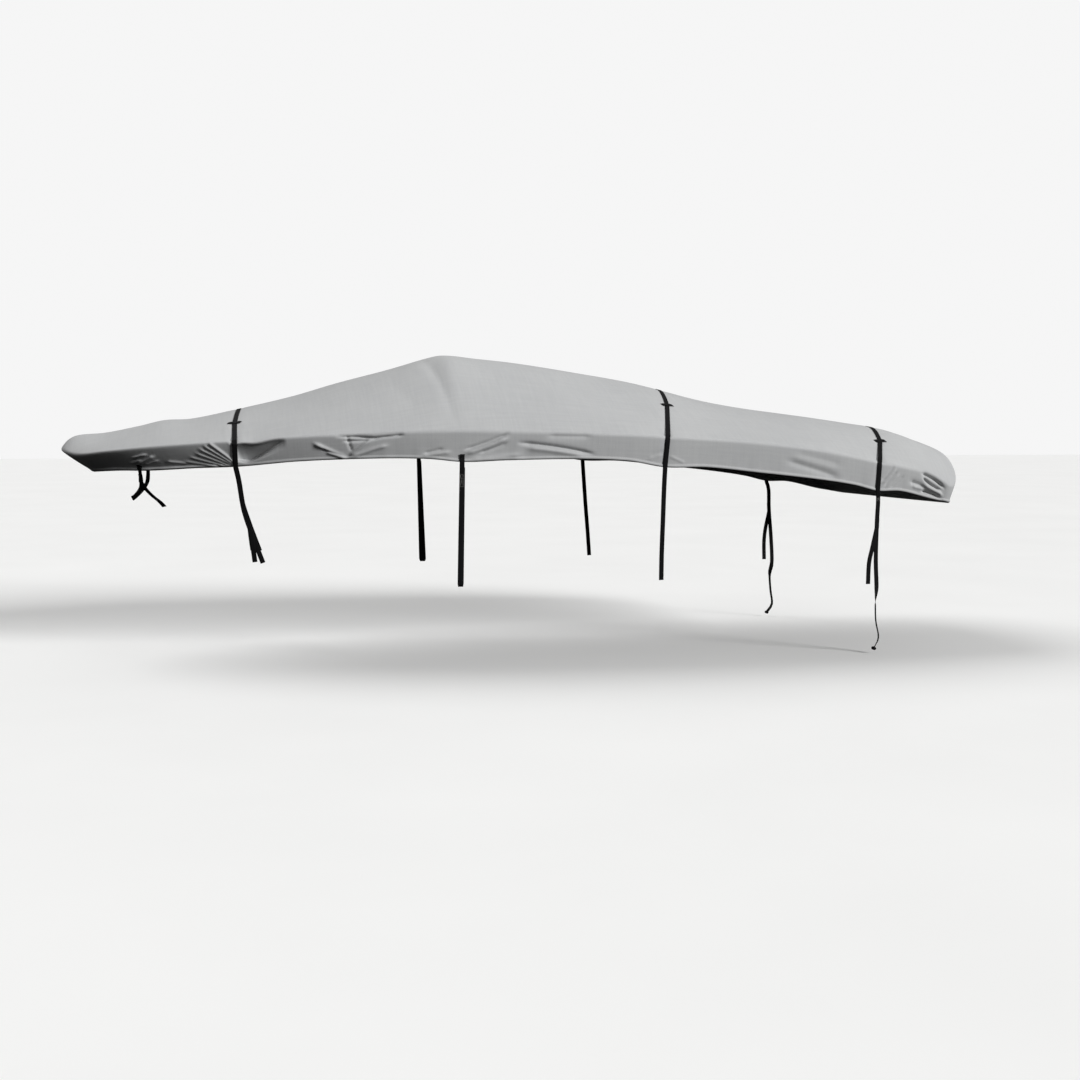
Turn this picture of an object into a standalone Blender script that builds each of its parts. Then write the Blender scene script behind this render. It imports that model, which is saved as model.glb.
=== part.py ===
"""A fitted cover for a seven metre runabout on its trailer, with its tie-down straps.

The cover is one sheet of canvas: a top that rises from the bow to the windscreen and falls
to the transom, and a skirt that turns in under the gunwale. Three straps cross it, each
held by a sewn loop on either side, and shorter straps are sewn to its hem and at the bow.

Metres, +Z up. The bow points to -X. The origin is on the centre plane, where the sheet's
under side rests on the windscreen's top. Run it in Blender:
    blender --background --python part.py
"""

import math
from collections import namedtuple

import bmesh
import bpy
from mathutils import Vector
from mathutils.bvhtree import BVHTree

# ---------------------------------------------------------------------------
# Driving dimensions
# ---------------------------------------------------------------------------

BOW_X = -2.85               # tip of the bow
WIDEST_X = 1.30             # where the beam is greatest
STERN_X = 3.93              # transom edge
HALF_BEAM = 1.25            # half the greatest beam
BOW_SHARPNESS = 2.2         # exponent of the bow's plan curve
STERN_NARROWING = 0.16      # how much the half beam shrinks towards the transom
CORNER_RADIUS = 0.16        # plan radius of the stern corners
TRANSOM_CAMBER = 0.03       # how far the middle of the transom stands aft of its corners
SPINE_FORE_X = -2.50        # the top's rib lines meet the centre line between these two
SPINE_AFT_X = 3.55
STERN_SLOPE_FROM = 3.35     # aft of this the top begins to slope straight to the sides
STERN_SLOPE_TO = 3.85
STERN_STRAIGHT = 0.42       # the share of the fall that is straight there

CLOTH_THICKNESS = 0.0025
EDGE_ROUND = 0.022          # softness of the fold over the gunwale

WEB_WIDTH = 0.036           # strap webbing
WEB_THICKNESS = 0.0024
WEB_CLEARANCE = 0.0042      # from the cloth to the middle of the webbing
LOOP_LENGTH = 0.100         # sewn loops
LOOP_WIDTH = 0.042
LOOP_THICKNESS = 0.0030
LOOP_ARCH = 0.036           # half the length of the arch over the strap
LOOP_SEWN = 0.045           # from here outwards a loop lies flat on the cloth
LOOP_LIFT = 0.0012          # from the cloth to a loop's under side
STRAP_TO_LOOP = 0.0025      # from a strap's outer face to the under side of its loop
STRAP_STEP = 0.055          # distance between a strap's cross sections

# Vertical profile of the centre line.
Ridge = namedtuple("Ridge", "x z")
RIDGE = [
    Ridge(-2.85, -0.722),
    Ridge(-2.80, -0.660),
    Ridge(-2.73, -0.623),
    Ridge(-2.53, -0.604),
    Ridge(-2.28, -0.553),
    Ridge(-2.10, -0.510),
    Ridge(-1.90, -0.498),
    Ridge(-1.60, -0.434),
    Ridge(-1.15, -0.325),
    Ridge(-0.80, -0.219),
    Ridge(-0.40, -0.112),
    Ridge(-0.10, -0.023),
    Ridge(0.02, 0.000),
    Ridge(0.25, -0.020),
    Ridge(0.60, -0.054),
    Ridge(1.10, -0.126),
    Ridge(1.60, -0.210),
    Ridge(2.10, -0.338),
    Ridge(2.45, -0.402),
    Ridge(2.90, -0.461),
    Ridge(3.40, -0.535),
    Ridge(3.75, -0.593),
    Ridge(3.96, -0.640),
]

# The gunwale line, the hem and how the cloth runs between them. Fullness is the exponent
# of the section: 1 is a tent, 4 is a box. Tuck is how far the hem lies inside the gunwale.
Section = namedtuple("Section", "x rail_z fullness hem_z tuck")
SECTIONS = [
    Section(-2.85, -0.724, 1.6, -0.893, 0.235),
    Section(-2.72, -0.760, 1.6, -0.886, 0.215),
    Section(-2.50, -0.736, 1.5, -0.876, 0.180),
    Section(-2.25, -0.709, 1.5, -0.873, 0.150),
    Section(-1.90, -0.680, 1.5, -0.853, 0.120),
    Section(-1.58, -0.660, 1.5, -0.840, 0.095),
    Section(-1.15, -0.631, 1.6, -0.802, 0.075),
    Section(-0.60, -0.604, 1.9, -0.782, 0.055),
    Section(-0.25, -0.594, 2.1, -0.786, 0.045),
    Section(0.00, -0.591, 2.1, -0.808, 0.045),
    Section(0.30, -0.595, 2.0, -0.797, 0.040),
    Section(0.80, -0.608, 1.8, -0.790, 0.034),
    Section(1.20, -0.620, 1.6, -0.806, 0.032),
    Section(1.48, -0.634, 1.6, -0.852, 0.034),
    Section(1.80, -0.652, 1.6, -0.856, 0.032),
    Section(2.20, -0.680, 1.8, -0.897, 0.032),
    Section(2.70, -0.737, 2.2, -0.953, 0.032),
    Section(3.00, -0.790, 2.6, -0.998, 0.034),
    Section(3.20, -0.830, 2.9, -1.045, 0.036),
    Section(3.40, -0.864, 3.4, -1.050, 0.034),
    Section(3.70, -0.940, 6.0, -1.118, 0.036),
    Section(3.96, -1.110, 9.0, -1.156, 0.055),
]

# Main folds, as lines on the skirt and the cloth just above it. Each runs from one point to
# another, given as x and as drop below the gunwale (negative above it). Depth is inwards.
Fold = namedtuple("Fold", "x0 drop0 x1 drop1 width depth")
FOLDS = [
    Fold(-2.42, 0.04, -2.18, 0.10, 0.040, 0.012),
    Fold(-1.95, 0.03, -1.66, 0.13, 0.035, 0.014),
    Fold(-1.80, 0.00, -1.62, 0.14, 0.032, -0.012),
    Fold(-1.50, 0.03, -1.30, 0.01, 0.050, 0.032),
    Fold(-1.55, 0.09, -1.42, 0.04, 0.040, 0.022),
    Fold(-0.98, 0.03, -0.84, 0.14, 0.045, 0.014),
    Fold(-0.80, 0.02, -0.48, 0.02, 0.045, 0.016),
    Fold(0.04, 0.15, 0.32, 0.02, 0.045, 0.014),
    Fold(-0.22, 0.06, -0.05, 0.16, 0.040, -0.010),
    Fold(0.46, 0.07, 0.94, 0.12, 0.050, 0.008),
    Fold(2.40, 0.05, 2.80, 0.12, 0.050, 0.008),
    Fold(3.24, 0.15, 3.38, 0.03, 0.045, 0.014),
    Fold(3.60, 0.05, 3.76, 0.13, 0.050, 0.020),
]
FAR_SIDE_FOLDS = 0.6        # the other side's folds are shallower and a little further aft
FAR_SIDE_SHIFT = 0.05
LEAST_FOLDED_Y = 0.4        # the folds don't reach the top where the bow is narrower than this

# Spacing of the ribs along each side: from here aft, one rib every so many metres.
Spacing = namedtuple("Spacing", "x near far")
RIB_SPACING = [
    Spacing(-2.85, 0.11, 0.15),
    Spacing(-2.10, 0.075, 0.13),
    Spacing(-1.20, 0.12, 0.20),
    Spacing(-1.00, 0.08, 0.20),
    Spacing(-0.60, 0.14, 0.22),
    Spacing(-0.25, 0.08, 0.20),
    Spacing(0.45, 0.22, 0.26),
    Spacing(1.30, 0.13, 0.22),
    Spacing(1.70, 0.24, 0.26),
    Spacing(3.05, 0.12, 0.16),
]
BOW_TIP_LENGTH = 0.12       # the ribs are closer round the tip of the bow
BOW_TIP_STEP = 0.50
CORNER_STEP = 0.55          # and round the stern corners
LEAST_RIB_GAP = 0.06
TOP_ROWS = (0.16, 0.32, 0.48, 0.62, 0.74, 0.84, 0.92, 0.97)
SKIRT_ROWS = (0.30, 0.62, 1.00)

# Routes of the straps that cross the cover: x at the centre line, at the sewn loop, at the
# gunwale and at the hem, where the loop is sewn as a share of the half beam, and how much
# it is turned in plan.
Crossing = namedtuple("Crossing", "name ridge_x loop_x rail_x hem_x loop_at loop_turn")
CROSSINGS = [
    Crossing("fore", -1.545, -1.583, -1.588, -1.582, 0.59, -20),
    Crossing("mid", 1.788, 1.650, 1.487, 1.476, 0.57, 17),
    Crossing("aft", 3.559, 3.331, 3.195, 3.200, 0.77, 13),
]

CROSSING_SHARES = (0.0, 0.1, 0.2, 0.3, 0.4, 0.5, 0.6, 0.68, 0.76, 0.84, 0.9, 0.94, 0.97, 0.985)
SKIRT_SHARES = (0.12, 0.35, 0.62, 0.85, 1.02)

# Where the crossing straps run below the hem, on the near side.
LEGS = {
    "fore": [
        (-1.560, -0.790, -0.950), (-1.528, -0.700, -1.157),
        (-1.471, -0.610, -1.345), (-1.395, -0.530, -1.559),
    ],
    "mid": [
        (1.479, -1.190, -1.020), (1.485, -1.150, -1.243),
        (1.493, -1.100, -1.491), (1.500, -1.070, -1.696),
    ],
    "aft": [
        (3.214, -1.115, -1.130), (3.214, -1.100, -1.308), (3.226, -1.070, -1.581), (3.236, -1.070, -1.790),
        (3.222, -1.085, -1.900), (3.230, -1.080, -2.050), (3.250, -1.090, -2.180), (3.205, -1.105, -2.260),
    ],
}

SIDE_STRAP_X = -0.012
SIDE_STRAP_FALL = [(1.150, -0.937), (1.100, -1.298), (1.050, -1.690)]
SIDE_STRAP_RISES = (0.052, 0.026, 0.004)        # heights above the hem where it is sewn
BAR_RADIUS = 0.024          # the bar that a side strap is doubled round
BAR_SHIFT = 0.017           # how far its back run lies aft of its front run below

# The second ends of the fore and aft straps. Each is sewn on the strap at three heights and
# then runs free through its own points.
LAP_GAP = 0.0052            # between the middles of two straps that are sewn together
SECOND_END_LAPS = (-1.255, -1.290, -1.325)
SECOND_ENDS = {
    "fore": [(-1.466, -0.590, -1.444), (-1.453, -0.535, -1.551)],
    "aft": [(3.182, -1.100, -1.478), (3.163, -1.085, -1.600), (3.162, -1.075, -1.765)],
}

# The bow strap, from the hem down the bow's flare and round its stem, and its loose end.
BOW_STRAP_X = -2.250
BOW_STRAP_FALL = [
    (-2.252, -0.455, -0.930), (-2.258, -0.395, -0.990),
    (-2.285, -0.250, -1.040), (-2.328, -0.080, -1.086),
]
BOW_STRAP_STEM = (-2.348, 0.0, -1.098)
BOW_TAIL_LAP = (-0.905, -0.930, -0.955)
BOW_TAIL_LIFT = 2.2         # laps between the bow strap and its loose end
BOW_TAIL = [
    (-2.232, -0.426, -1.000), (-2.185, -0.330, -1.062),
    (-2.135, -0.230, -1.114), (-2.104, -0.185, -1.154),
]

COLLECTION = "boat_cover"

# ---------------------------------------------------------------------------
# Materials
# ---------------------------------------------------------------------------


def principled(name, colour, roughness):
    """A plain material: linear colour and roughness."""
    material = bpy.data.materials.get(name)
    if material is None:
        material = bpy.data.materials.new(name)
        material.use_nodes = True
        shader = material.node_tree.nodes["Principled BSDF"]
        shader.inputs["Base Color"].default_value = (*colour, 1.0)
        shader.inputs["Roughness"].default_value = roughness
        shader.inputs["Metallic"].default_value = 0.0
    return material


def canvas_material():
    return principled("grey_canvas", (0.45, 0.45, 0.45), 0.85)


def webbing_material():
    return principled("black_webbing", (0.008, 0.008, 0.009), 0.7)


# ---------------------------------------------------------------------------
# Shape of the cover
# ---------------------------------------------------------------------------


def smooth_column(rows, column, x):
    """Value of one column at x, along a smooth curve through the rows."""
    x = min(max(x, rows[0].x), rows[-1].x)
    index = 0
    while index < len(rows) - 2 and rows[index + 1].x < x:
        index += 1

    def slope(i):
        low = max(i - 1, 0)
        high = min(i + 1, len(rows) - 1)
        rise = getattr(rows[high], column) - getattr(rows[low], column)
        return rise / (rows[high].x - rows[low].x)

    left, right = rows[index], rows[index + 1]
    span = right.x - left.x
    t = (x - left.x) / span
    a, b = getattr(left, column), getattr(right, column)
    return (
        a * (2 * t**3 - 3 * t**2 + 1)
        + slope(index) * span * (t**3 - 2 * t**2 + t)
        + b * (3 * t**2 - 2 * t**3)
        + slope(index + 1) * span * (t**3 - t**2)
    )


def half_beam(x):
    """Half the width of the gunwale line at x, before its stern corners are rounded."""
    if x <= WIDEST_X:
        forward = min((WIDEST_X - x) / (WIDEST_X - BOW_X), 1.0)
        return HALF_BEAM * math.sqrt(max(1.0 - forward**BOW_SHARPNESS, 0.0))
    aft = (x - WIDEST_X) / (STERN_X - WIDEST_X)
    return HALF_BEAM - STERN_NARROWING * aft**2


def outline_points(side, spacing_column):
    """The gunwale line of one side, bow to stern, as (x, y) pairs spaced by the table."""
    dense = []
    for i in range(401):
        angle = math.pi / 2 * i / 400
        x = WIDEST_X - (WIDEST_X - BOW_X) * math.cos(angle) ** (2 / BOW_SHARPNESS)
        dense.append((x, HALF_BEAM * math.sin(angle)))
    corner_x = STERN_X - CORNER_RADIUS
    for i in range(1, 201):
        x = WIDEST_X + (corner_x - WIDEST_X) * i / 200
        dense.append((x, half_beam(x)))
    corner_y = half_beam(corner_x) - CORNER_RADIUS
    for i in range(1, 31):
        angle = math.pi / 2 * (1 - i / 30)
        x = corner_x + CORNER_RADIUS * math.cos(angle)
        dense.append((x, corner_y + CORNER_RADIUS * math.sin(angle)))
    for i in range(1, 61):
        y = corner_y * (1 - i / 60)
        dense.append((STERN_X + TRANSOM_CAMBER * (1 - (y / corner_y) ** 2), y))

    picked = [dense[0]]
    since = 0.0
    for before, point in zip(dense, dense[1:]):
        since += math.dist(before, point)
        passed = [row for row in RIB_SPACING if row.x <= before[0] + 0.001]
        step = getattr(passed[-1], spacing_column)
        if point[0] < BOW_X + BOW_TIP_LENGTH:
            step *= BOW_TIP_STEP
        if math.dist(point, (corner_x, corner_y)) < CORNER_RADIUS * 1.05:
            step *= CORNER_STEP
        if since >= step:
            picked.append(point)
            since = 0.0
    if math.dist(picked[-1], dense[-1]) < LEAST_RIB_GAP:
        picked.pop()
    picked.append(dense[-1])
    return [(x, side * y) for x, y in picked]


def top_height(x, y):
    """Height of the stretched top over a point of the plan."""
    ridge = smooth_column(RIDGE, "z", x)
    rail = min(smooth_column(SECTIONS, "rail_z", x), ridge - 0.001)
    across = min(abs(y) / max(half_beam(x), 0.02), 1.0)
    aft = min(max((x - STERN_SLOPE_FROM) / (STERN_SLOPE_TO - STERN_SLOPE_FROM), 0.0), 1.0)
    straight = STERN_STRAIGHT * aft**2 * (3 - 2 * aft)
    fall = straight * across**1.25 + (1 - straight) * across ** smooth_column(SECTIONS, "fullness", x)
    return ridge - (ridge - rail) * fall


def fold_depth(x, drop, side):
    """How far the folds draw the cloth inwards at a place on the skirt."""
    depth = 0.0
    shift, share = (0.0, 1.0) if side < 0 else (FAR_SIDE_SHIFT, FAR_SIDE_FOLDS)
    for fold in FOLDS:
        start = Vector((fold.x0 + shift, fold.drop0))
        run = Vector((fold.x1 + shift, fold.drop1)) - start
        place = Vector((x, drop))
        along = min(max((place - start).dot(run) / run.length_squared, -0.15), 1.15)
        away = (place - (start + run * along)).length / fold.width
        taper = 1.0 - 0.6 * abs(2 * along - 1) ** 2
        depth += share * fold.depth * taper * math.exp(-away * away * 2)
    return depth


def outward(points, index):
    """Unit vector out of the plan outline at one of its points."""
    before = Vector(points[index - 1])
    after = Vector(points[(index + 1) % len(points)])
    along = (after - before).normalized()
    return Vector((along.y, -along.x, 0.0))


def rib(points, index):
    """Points of one rib, from the centre line over the gunwale to the hem."""
    x, y = points[index]
    side = -1.0 if y <= 0 else 1.0
    out = outward(points, index)
    foot = Vector((min(max(x, SPINE_FORE_X), SPINE_AFT_X), 0.0, 0.0))
    edge = Vector((x, y, 0.0))

    rib_points = []
    for share in TOP_ROWS:
        place = foot.lerp(edge, share)
        place.z = top_height(place.x, place.y)
        sag = fold_depth(place.x, -(1 - share) * abs(y), side) if abs(y) > LEAST_FOLDED_Y else 0.0
        rib_points.append(place - (Vector((0, 0, 1)) + out) * 0.5 * sag)

    edge_z = top_height(x, y)
    hem_z = smooth_column(SECTIONS, "hem_z", x)
    tuck = smooth_column(SECTIONS, "tuck", x)
    rounded = edge - out * (EDGE_ROUND * 0.2 + fold_depth(x, 0.0, side))
    rounded.z = edge_z - EDGE_ROUND * 0.25
    rib_points.append(rounded)
    for share in SKIRT_ROWS:
        drop = (edge_z - hem_z) * share
        inward = tuck * share**1.15 + fold_depth(x, drop, side)
        place = edge - out * inward
        place.z = edge_z - drop
        rib_points.append(place)
    return rib_points


def cover_cloth():
    """The canvas: ribs across the top and skirt, joined by faces, then given its thickness."""
    near = outline_points(-1.0, "near")
    far = outline_points(1.0, "far")
    points = near + far[-2:0:-1]

    mesh = bmesh.new()
    spine = {}

    def spine_vertex(x):
        x = min(max(x, SPINE_FORE_X), SPINE_AFT_X)
        key = round(x, 4)
        if key not in spine:
            spine[key] = mesh.verts.new((x, 0.0, top_height(x, 0.0)))
        return spine[key]

    stern = len(near) - 1
    near_spine = [spine_vertex(x) for x, y in near]
    ribs = [[mesh.verts.new(place) for place in rib(points, i)] for i in range(len(points))]

    def nearest_spine(x):
        x = min(max(x, SPINE_FORE_X), SPINE_AFT_X)
        return min(near_spine, key=lambda vertex: abs(vertex.co.x - x))

    feet = [near_spine[i] if i <= stern else nearest_spine(points[i][0]) for i in range(len(points))]
    for i, first in enumerate(ribs):
        j = (i + 1) % len(ribs)
        second = ribs[j]
        fill_strip(mesh, feet[i], feet[j], first[0], second[0], near_spine)
        for k in range(len(first) - 1):
            mesh.faces.new((first[k], first[k + 1], second[k + 1], second[k]))

    bmesh.ops.recalc_face_normals(mesh, faces=mesh.faces)
    cloth = new_object("cover_cloth", mesh, canvas_material())
    thick = cloth.modifiers.new("Thickness", "SOLIDIFY")
    thick.thickness = CLOTH_THICKNESS
    thick.offset = 1.0
    thick.use_even_offset = False
    return cloth


def fill_strip(mesh, foot_a, foot_b, rib_a, rib_b, spine):
    """Faces between the centre line and the first row of two neighbouring ribs."""
    start, end = spine.index(foot_a), spine.index(foot_b)
    step = 1 if end >= start else -1
    line = [spine[i] for i in range(start, end + step, step)]
    unique = [vertex for i, vertex in enumerate(line) if i == 0 or vertex is not line[i - 1]]
    for before, after in zip(unique, unique[1:-1]):
        mesh.faces.new((before, rib_a, after))
    if len(unique) == 1:
        mesh.faces.new((unique[0], rib_a, rib_b))
    else:
        mesh.faces.new((unique[-2], rib_a, rib_b, unique[-1]))


# ---------------------------------------------------------------------------
# Straps
# ---------------------------------------------------------------------------


def side_name(side):
    return "near" if side < 0 else "far"


def new_object(name, mesh, material):
    """An object of the cover's collection, made from a bmesh."""
    data = bpy.data.meshes.new(name)
    mesh.to_mesh(data)
    mesh.free()
    data.materials.append(material)
    thing = bpy.data.objects.new(name, data)
    bpy.data.collections[COLLECTION].objects.link(thing)
    return thing


def webbing(name, centres, outs, width=WEB_WIDTH, thickness=WEB_THICKNESS):
    """A flat strap: a rectangular section at each centre, its outer face looking along outs."""
    mesh = bmesh.new()
    rings = []
    for i, (centre, out) in enumerate(zip(centres, outs)):
        along = centres[min(i + 1, len(centres) - 1)] - centres[max(i - 1, 0)]
        across = along.cross(out).normalized()
        half_w = across * width / 2
        half_t = across.cross(along).normalized() * thickness / 2
        corners = (-half_w - half_t, half_w - half_t, half_w + half_t, -half_w + half_t)
        rings.append([mesh.verts.new(centre + corner) for corner in corners])
    for first, second in zip(rings, rings[1:]):
        for k in range(4):
            after = (k + 1) % 4
            mesh.faces.new((first[k], first[after], second[after], second[k]))
    mesh.faces.new(rings[0])
    mesh.faces.new(rings[-1])
    bmesh.ops.recalc_face_normals(mesh, faces=mesh.faces)
    return new_object(name, mesh, webbing_material())


def surface_of(thing):
    """The finished surface of an object, to lay straps on."""
    bpy.context.view_layer.update()
    return BVHTree.FromObject(thing, bpy.context.evaluated_depsgraph_get())


def lay_on(cloth, place, out, across, clearance, reach=0.0):
    """The point that far above the cloth, clear of it over a strap's width and that reach."""
    along = out.cross(across).normalized()
    heights = []
    for side_step in (-0.7, -0.5, -0.25, 0.0, 0.25, 0.5, 0.7):
        for long_step in (-1.0, -0.5, 0.0, 0.5, 1.0):
            probe = place + across * side_step * WEB_WIDTH + along * long_step * reach
            hit = cloth.ray_cast(probe + out * 0.4, -out, 0.8)[0]
            if hit is not None:
                heights.append((hit - probe).dot(out))
    return place + out * (max(heights, default=0.0) + clearance)


def across_of(out):
    """The fore and aft direction that lies in a surface which faces that way."""
    return (Vector((1, 0, 0)) - out * out.x).normalized()


def top_normal(x, y):
    """Direction square to the stretched top."""
    step = 0.01
    slope_x = (top_height(x + step, y) - top_height(x - step, y)) / (2 * step)
    slope_y = (top_height(x, y + step) - top_height(x, y - step)) / (2 * step)
    return Vector((-slope_x, -slope_y, 1.0)).normalized()


def smooth_route(points, step):
    """Points spaced by about one step along a smooth curve through a route's points."""
    places = [Vector(point) for point in points]
    route = []
    for i in range(len(places) - 1):
        before = places[i - 1] if i else places[i] * 2 - places[i + 1]
        after = places[i + 2] if i + 2 < len(places) else places[i + 1] * 2 - places[i]
        start, end = places[i], places[i + 1]
        count = max(1, round((end - start).length / step))
        for k in range(count):
            t = k / count
            route.append(
                0.5 * (2 * start + (end - before) * t + (2 * before - 5 * start + 4 * end - after) * t**2
                       + (3 * start - before - 3 * end + after) * t**3)
            )
    route.append(places[-1])
    return route


def crossing_x(crossing, share):
    """Where a crossing strap lies at a share of the half beam."""
    if share < crossing.loop_at:
        bend = (share / crossing.loop_at) ** 1.1
        return crossing.ridge_x + (crossing.loop_x - crossing.ridge_x) * bend
    bend = (share - crossing.loop_at) / (1 - crossing.loop_at)
    return crossing.loop_x + (crossing.rail_x - crossing.loop_x) * bend


def half_crossing(crossing, cloth, side):
    """Centres and outer directions of one half of a strap, from the ridge to below the hem."""
    centres, outs = [], []
    for share in CROSSING_SHARES:
        x = crossing_x(crossing, share)
        y = side * share * half_beam(x)
        out = top_normal(x, y)
        place = Vector((x, y, top_height(x, y)))
        centres.append(lay_on(cloth, place, out, across_of(out), WEB_CLEARANCE, EDGE_ROUND))
        outs.append(out)

    rail_x, hem_x = crossing.rail_x, crossing.hem_x
    rail_y = half_beam(rail_x)
    rail_z = smooth_column(SECTIONS, "rail_z", rail_x)
    hem_z = smooth_column(SECTIONS, "hem_z", hem_x)
    tuck = smooth_column(SECTIONS, "tuck", hem_x)
    level = Vector((0, side, 0.0))
    for rise in (2.0, 0.8):
        over_edge = Vector((0, side, rise)).normalized()
        place = Vector((rail_x, side * rail_y, rail_z))
        clearance = 1.5 * WEB_CLEARANCE
        centres.append(lay_on(cloth, place, over_edge, Vector((1, 0, 0)), clearance, EDGE_ROUND))
        outs.append(over_edge)
    for share in SKIRT_SHARES:
        place = Vector((rail_x, side * (rail_y - tuck * share), rail_z)).lerp(
            Vector((hem_x, side * (rail_y - tuck * share), hem_z)), share)
        centres.append(lay_on(cloth, place, level, Vector((1, 0, 0)), WEB_CLEARANCE, EDGE_ROUND))
        outs.append(level)
    return centres, outs


def crossing_strap(crossing, cloth):
    """A strap from below one hem, over the top, to below the other. Returns its two halves."""
    leg = [Vector(point) for point in LEGS[crossing.name]]
    halves = []
    for side in (-1.0, 1.0):
        centres, outs = half_crossing(crossing, cloth, side)
        below = [Vector((p.x, p.y * -side, p.z)) for p in leg]
        tail = smooth_route([centres[-1]] + below, 2 * STRAP_STEP)[1:]
        centres += tail
        outs += [Vector((0, side, 0.0))] * len(tail)
        halves.append((centres, outs))
    near, far = halves
    centres = near[0][:0:-1] + far[0]
    outs = near[1][:0:-1] + far[1]
    webbing(f"{crossing.name}_strap", centres, outs)
    return near[0], far[0]


def strap_loop(crossing, cloth, side):
    """A short strip sewn flat at both ends, which holds the strap that passes under it."""
    x = crossing_x(crossing, crossing.loop_at)
    y = side * crossing.loop_at * half_beam(x)
    out = top_normal(x, y)
    turn = math.radians(crossing.loop_turn) * -side
    along = Vector((math.cos(turn), math.sin(turn), 0.0))
    along = (along - out * along.dot(out)).normalized()
    over_strap = WEB_CLEARANCE + WEB_THICKNESS / 2 + STRAP_TO_LOOP + LOOP_THICKNESS / 2
    flat = LOOP_LIFT + LOOP_THICKNESS / 2
    half = LOOP_LENGTH / 2
    profile = (
        (-half, flat), (-LOOP_SEWN, flat), (-LOOP_ARCH, over_strap), (0.0, over_strap),
        (LOOP_ARCH, over_strap), (LOOP_SEWN, flat), (half, flat),
    )
    centre = Vector((x, y, top_height(x, y)))
    across = out.cross(along).normalized()
    centres = [lay_on(cloth, centre + along * run, out, across, height) for run, height in profile]
    name = f"{crossing.name}_loop_{side_name(side)}"
    return webbing(name, centres, [out] * len(centres), LOOP_WIDTH, LOOP_THICKNESS)


def side_strap(cloth, side):
    """A strap sewn to the hem amidships, doubled below round a bar that isn't part of this."""
    x = SIDE_STRAP_X
    hem_z = smooth_column(SECTIONS, "hem_z", x)
    hem_y = half_beam(x) - smooth_column(SECTIONS, "tuck", x)
    level = Vector((0, side, 0.0))
    centres = []
    for rise in SIDE_STRAP_RISES:
        place = Vector((x, side * hem_y, hem_z + rise))
        centres.append(lay_on(cloth, place, level, Vector((1, 0, 0)), WEB_CLEARANCE))
    front = [(x, side * y, z) for y, z in SIDE_STRAP_FALL]
    centres += smooth_route([centres[-1]] + front, 2 * STRAP_STEP)[1:]
    outs = [level] * len(centres)
    bottom = centres[-1]
    for degrees in (30, 60, 90, 120, 150, 180):
        angle = math.radians(degrees)
        turned = Vector((0, side * math.cos(angle), -math.sin(angle)))
        axle = bottom - level * BAR_RADIUS
        centres.append(axle + turned * BAR_RADIUS + Vector((BAR_SHIFT * degrees / 180, 0, 0)))
        outs.append(turned)
    back = Vector((x + 0.004, centres[4].y - side * 0.006, centres[4].z))
    low = centres[-1]
    for i in range(1, 7):
        centres.append(low.lerp(back, i / 6))
        outs.append(-level)
    return webbing(f"side_strap_{side_name(side)}", centres, outs)


def mirrored(points, side):
    """Points given for the near side, on the side asked for."""
    return [Vector((x, y * -side, z)) for x, y, z in points]


def at_height(route, z):
    """Where a strap that runs down passes a height."""
    for upper, lower in zip(route, route[1:]):
        if upper.z >= z >= lower.z:
            return upper.lerp(lower, (upper.z - z) / (upper.z - lower.z))
    raise ValueError(f"the strap doesn't pass {z}")


def second_end(name, side, strap):
    """The other end of a strap, sewn on where the strap forks."""
    level = Vector((0, side, 0.0))
    lap = [at_height(strap, z) + level * LAP_GAP for z in SECOND_END_LAPS]
    centres = smooth_route(lap + mirrored(SECOND_ENDS[name], side), 2 * STRAP_STEP)
    return webbing(f"{name}_strap_end_{side_name(side)}", centres, [level] * len(centres))


def bow_strap(cloth):
    """One strap from hem to hem under the bow, flat against the flare and round the stem."""
    slope = (half_beam(BOW_STRAP_X + 0.01) - half_beam(BOW_STRAP_X - 0.01)) / 0.02
    hem_z = smooth_column(SECTIONS, "hem_z", BOW_STRAP_X)
    hem_y = half_beam(BOW_STRAP_X) - smooth_column(SECTIONS, "tuck", BOW_STRAP_X)
    halves = []
    for side in (-1.0, 1.0):
        flare = Vector((-slope, side, 0.0)).normalized()
        across = Vector((flare.y, -flare.x, 0.0))
        start = []
        for rise in (0.035, 0.004):
            place = Vector((BOW_STRAP_X, side * hem_y, hem_z + rise))
            start.append(lay_on(cloth, place, flare, across, WEB_CLEARANCE))
        fall = mirrored(BOW_STRAP_FALL, side)
        route = smooth_route(start + fall + [Vector(BOW_STRAP_STEM)], STRAP_STEP)
        outs = []
        for place in route:
            turn = min(abs(place.y) / abs(fall[2].y), 1.0)
            outs.append((Vector((-1.0, 0.0, -0.45)).lerp(flare, turn)).normalized())
        halves.append((route, outs))
    near, far = halves
    webbing("bow_strap", near[0] + far[0][-2::-1], near[1] + far[1][-2::-1])
    return near[0]


def bow_tail(strap):
    """The bow strap's loose end, which runs aft and down from where it is sewn on."""
    out = Vector((-0.42, -0.90, -0.05)).normalized()
    lap = [at_height(strap, z) + out * BOW_TAIL_LIFT * LAP_GAP for z in BOW_TAIL_LAP]
    centres = smooth_route(lap + mirrored(BOW_TAIL, -1.0), STRAP_STEP)
    return webbing("bow_strap_tail", centres, [out] * len(centres))


def build():
    """The whole cover, in a collection of its own."""
    for thing in list(bpy.data.objects):
        bpy.data.objects.remove(thing, do_unlink=True)
    parts = bpy.data.collections.new(COLLECTION)
    bpy.context.scene.collection.children.link(parts)

    cloth = surface_of(cover_cloth())
    for crossing in CROSSINGS:
        halves = crossing_strap(crossing, cloth)
        for side, half in zip((-1.0, 1.0), halves):
            strap_loop(crossing, cloth, side)
            if crossing.name in SECOND_ENDS:
                second_end(crossing.name, side, half)
    for side in (-1.0, 1.0):
        side_strap(cloth, side)
    bow_tail(bow_strap(cloth))


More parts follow.
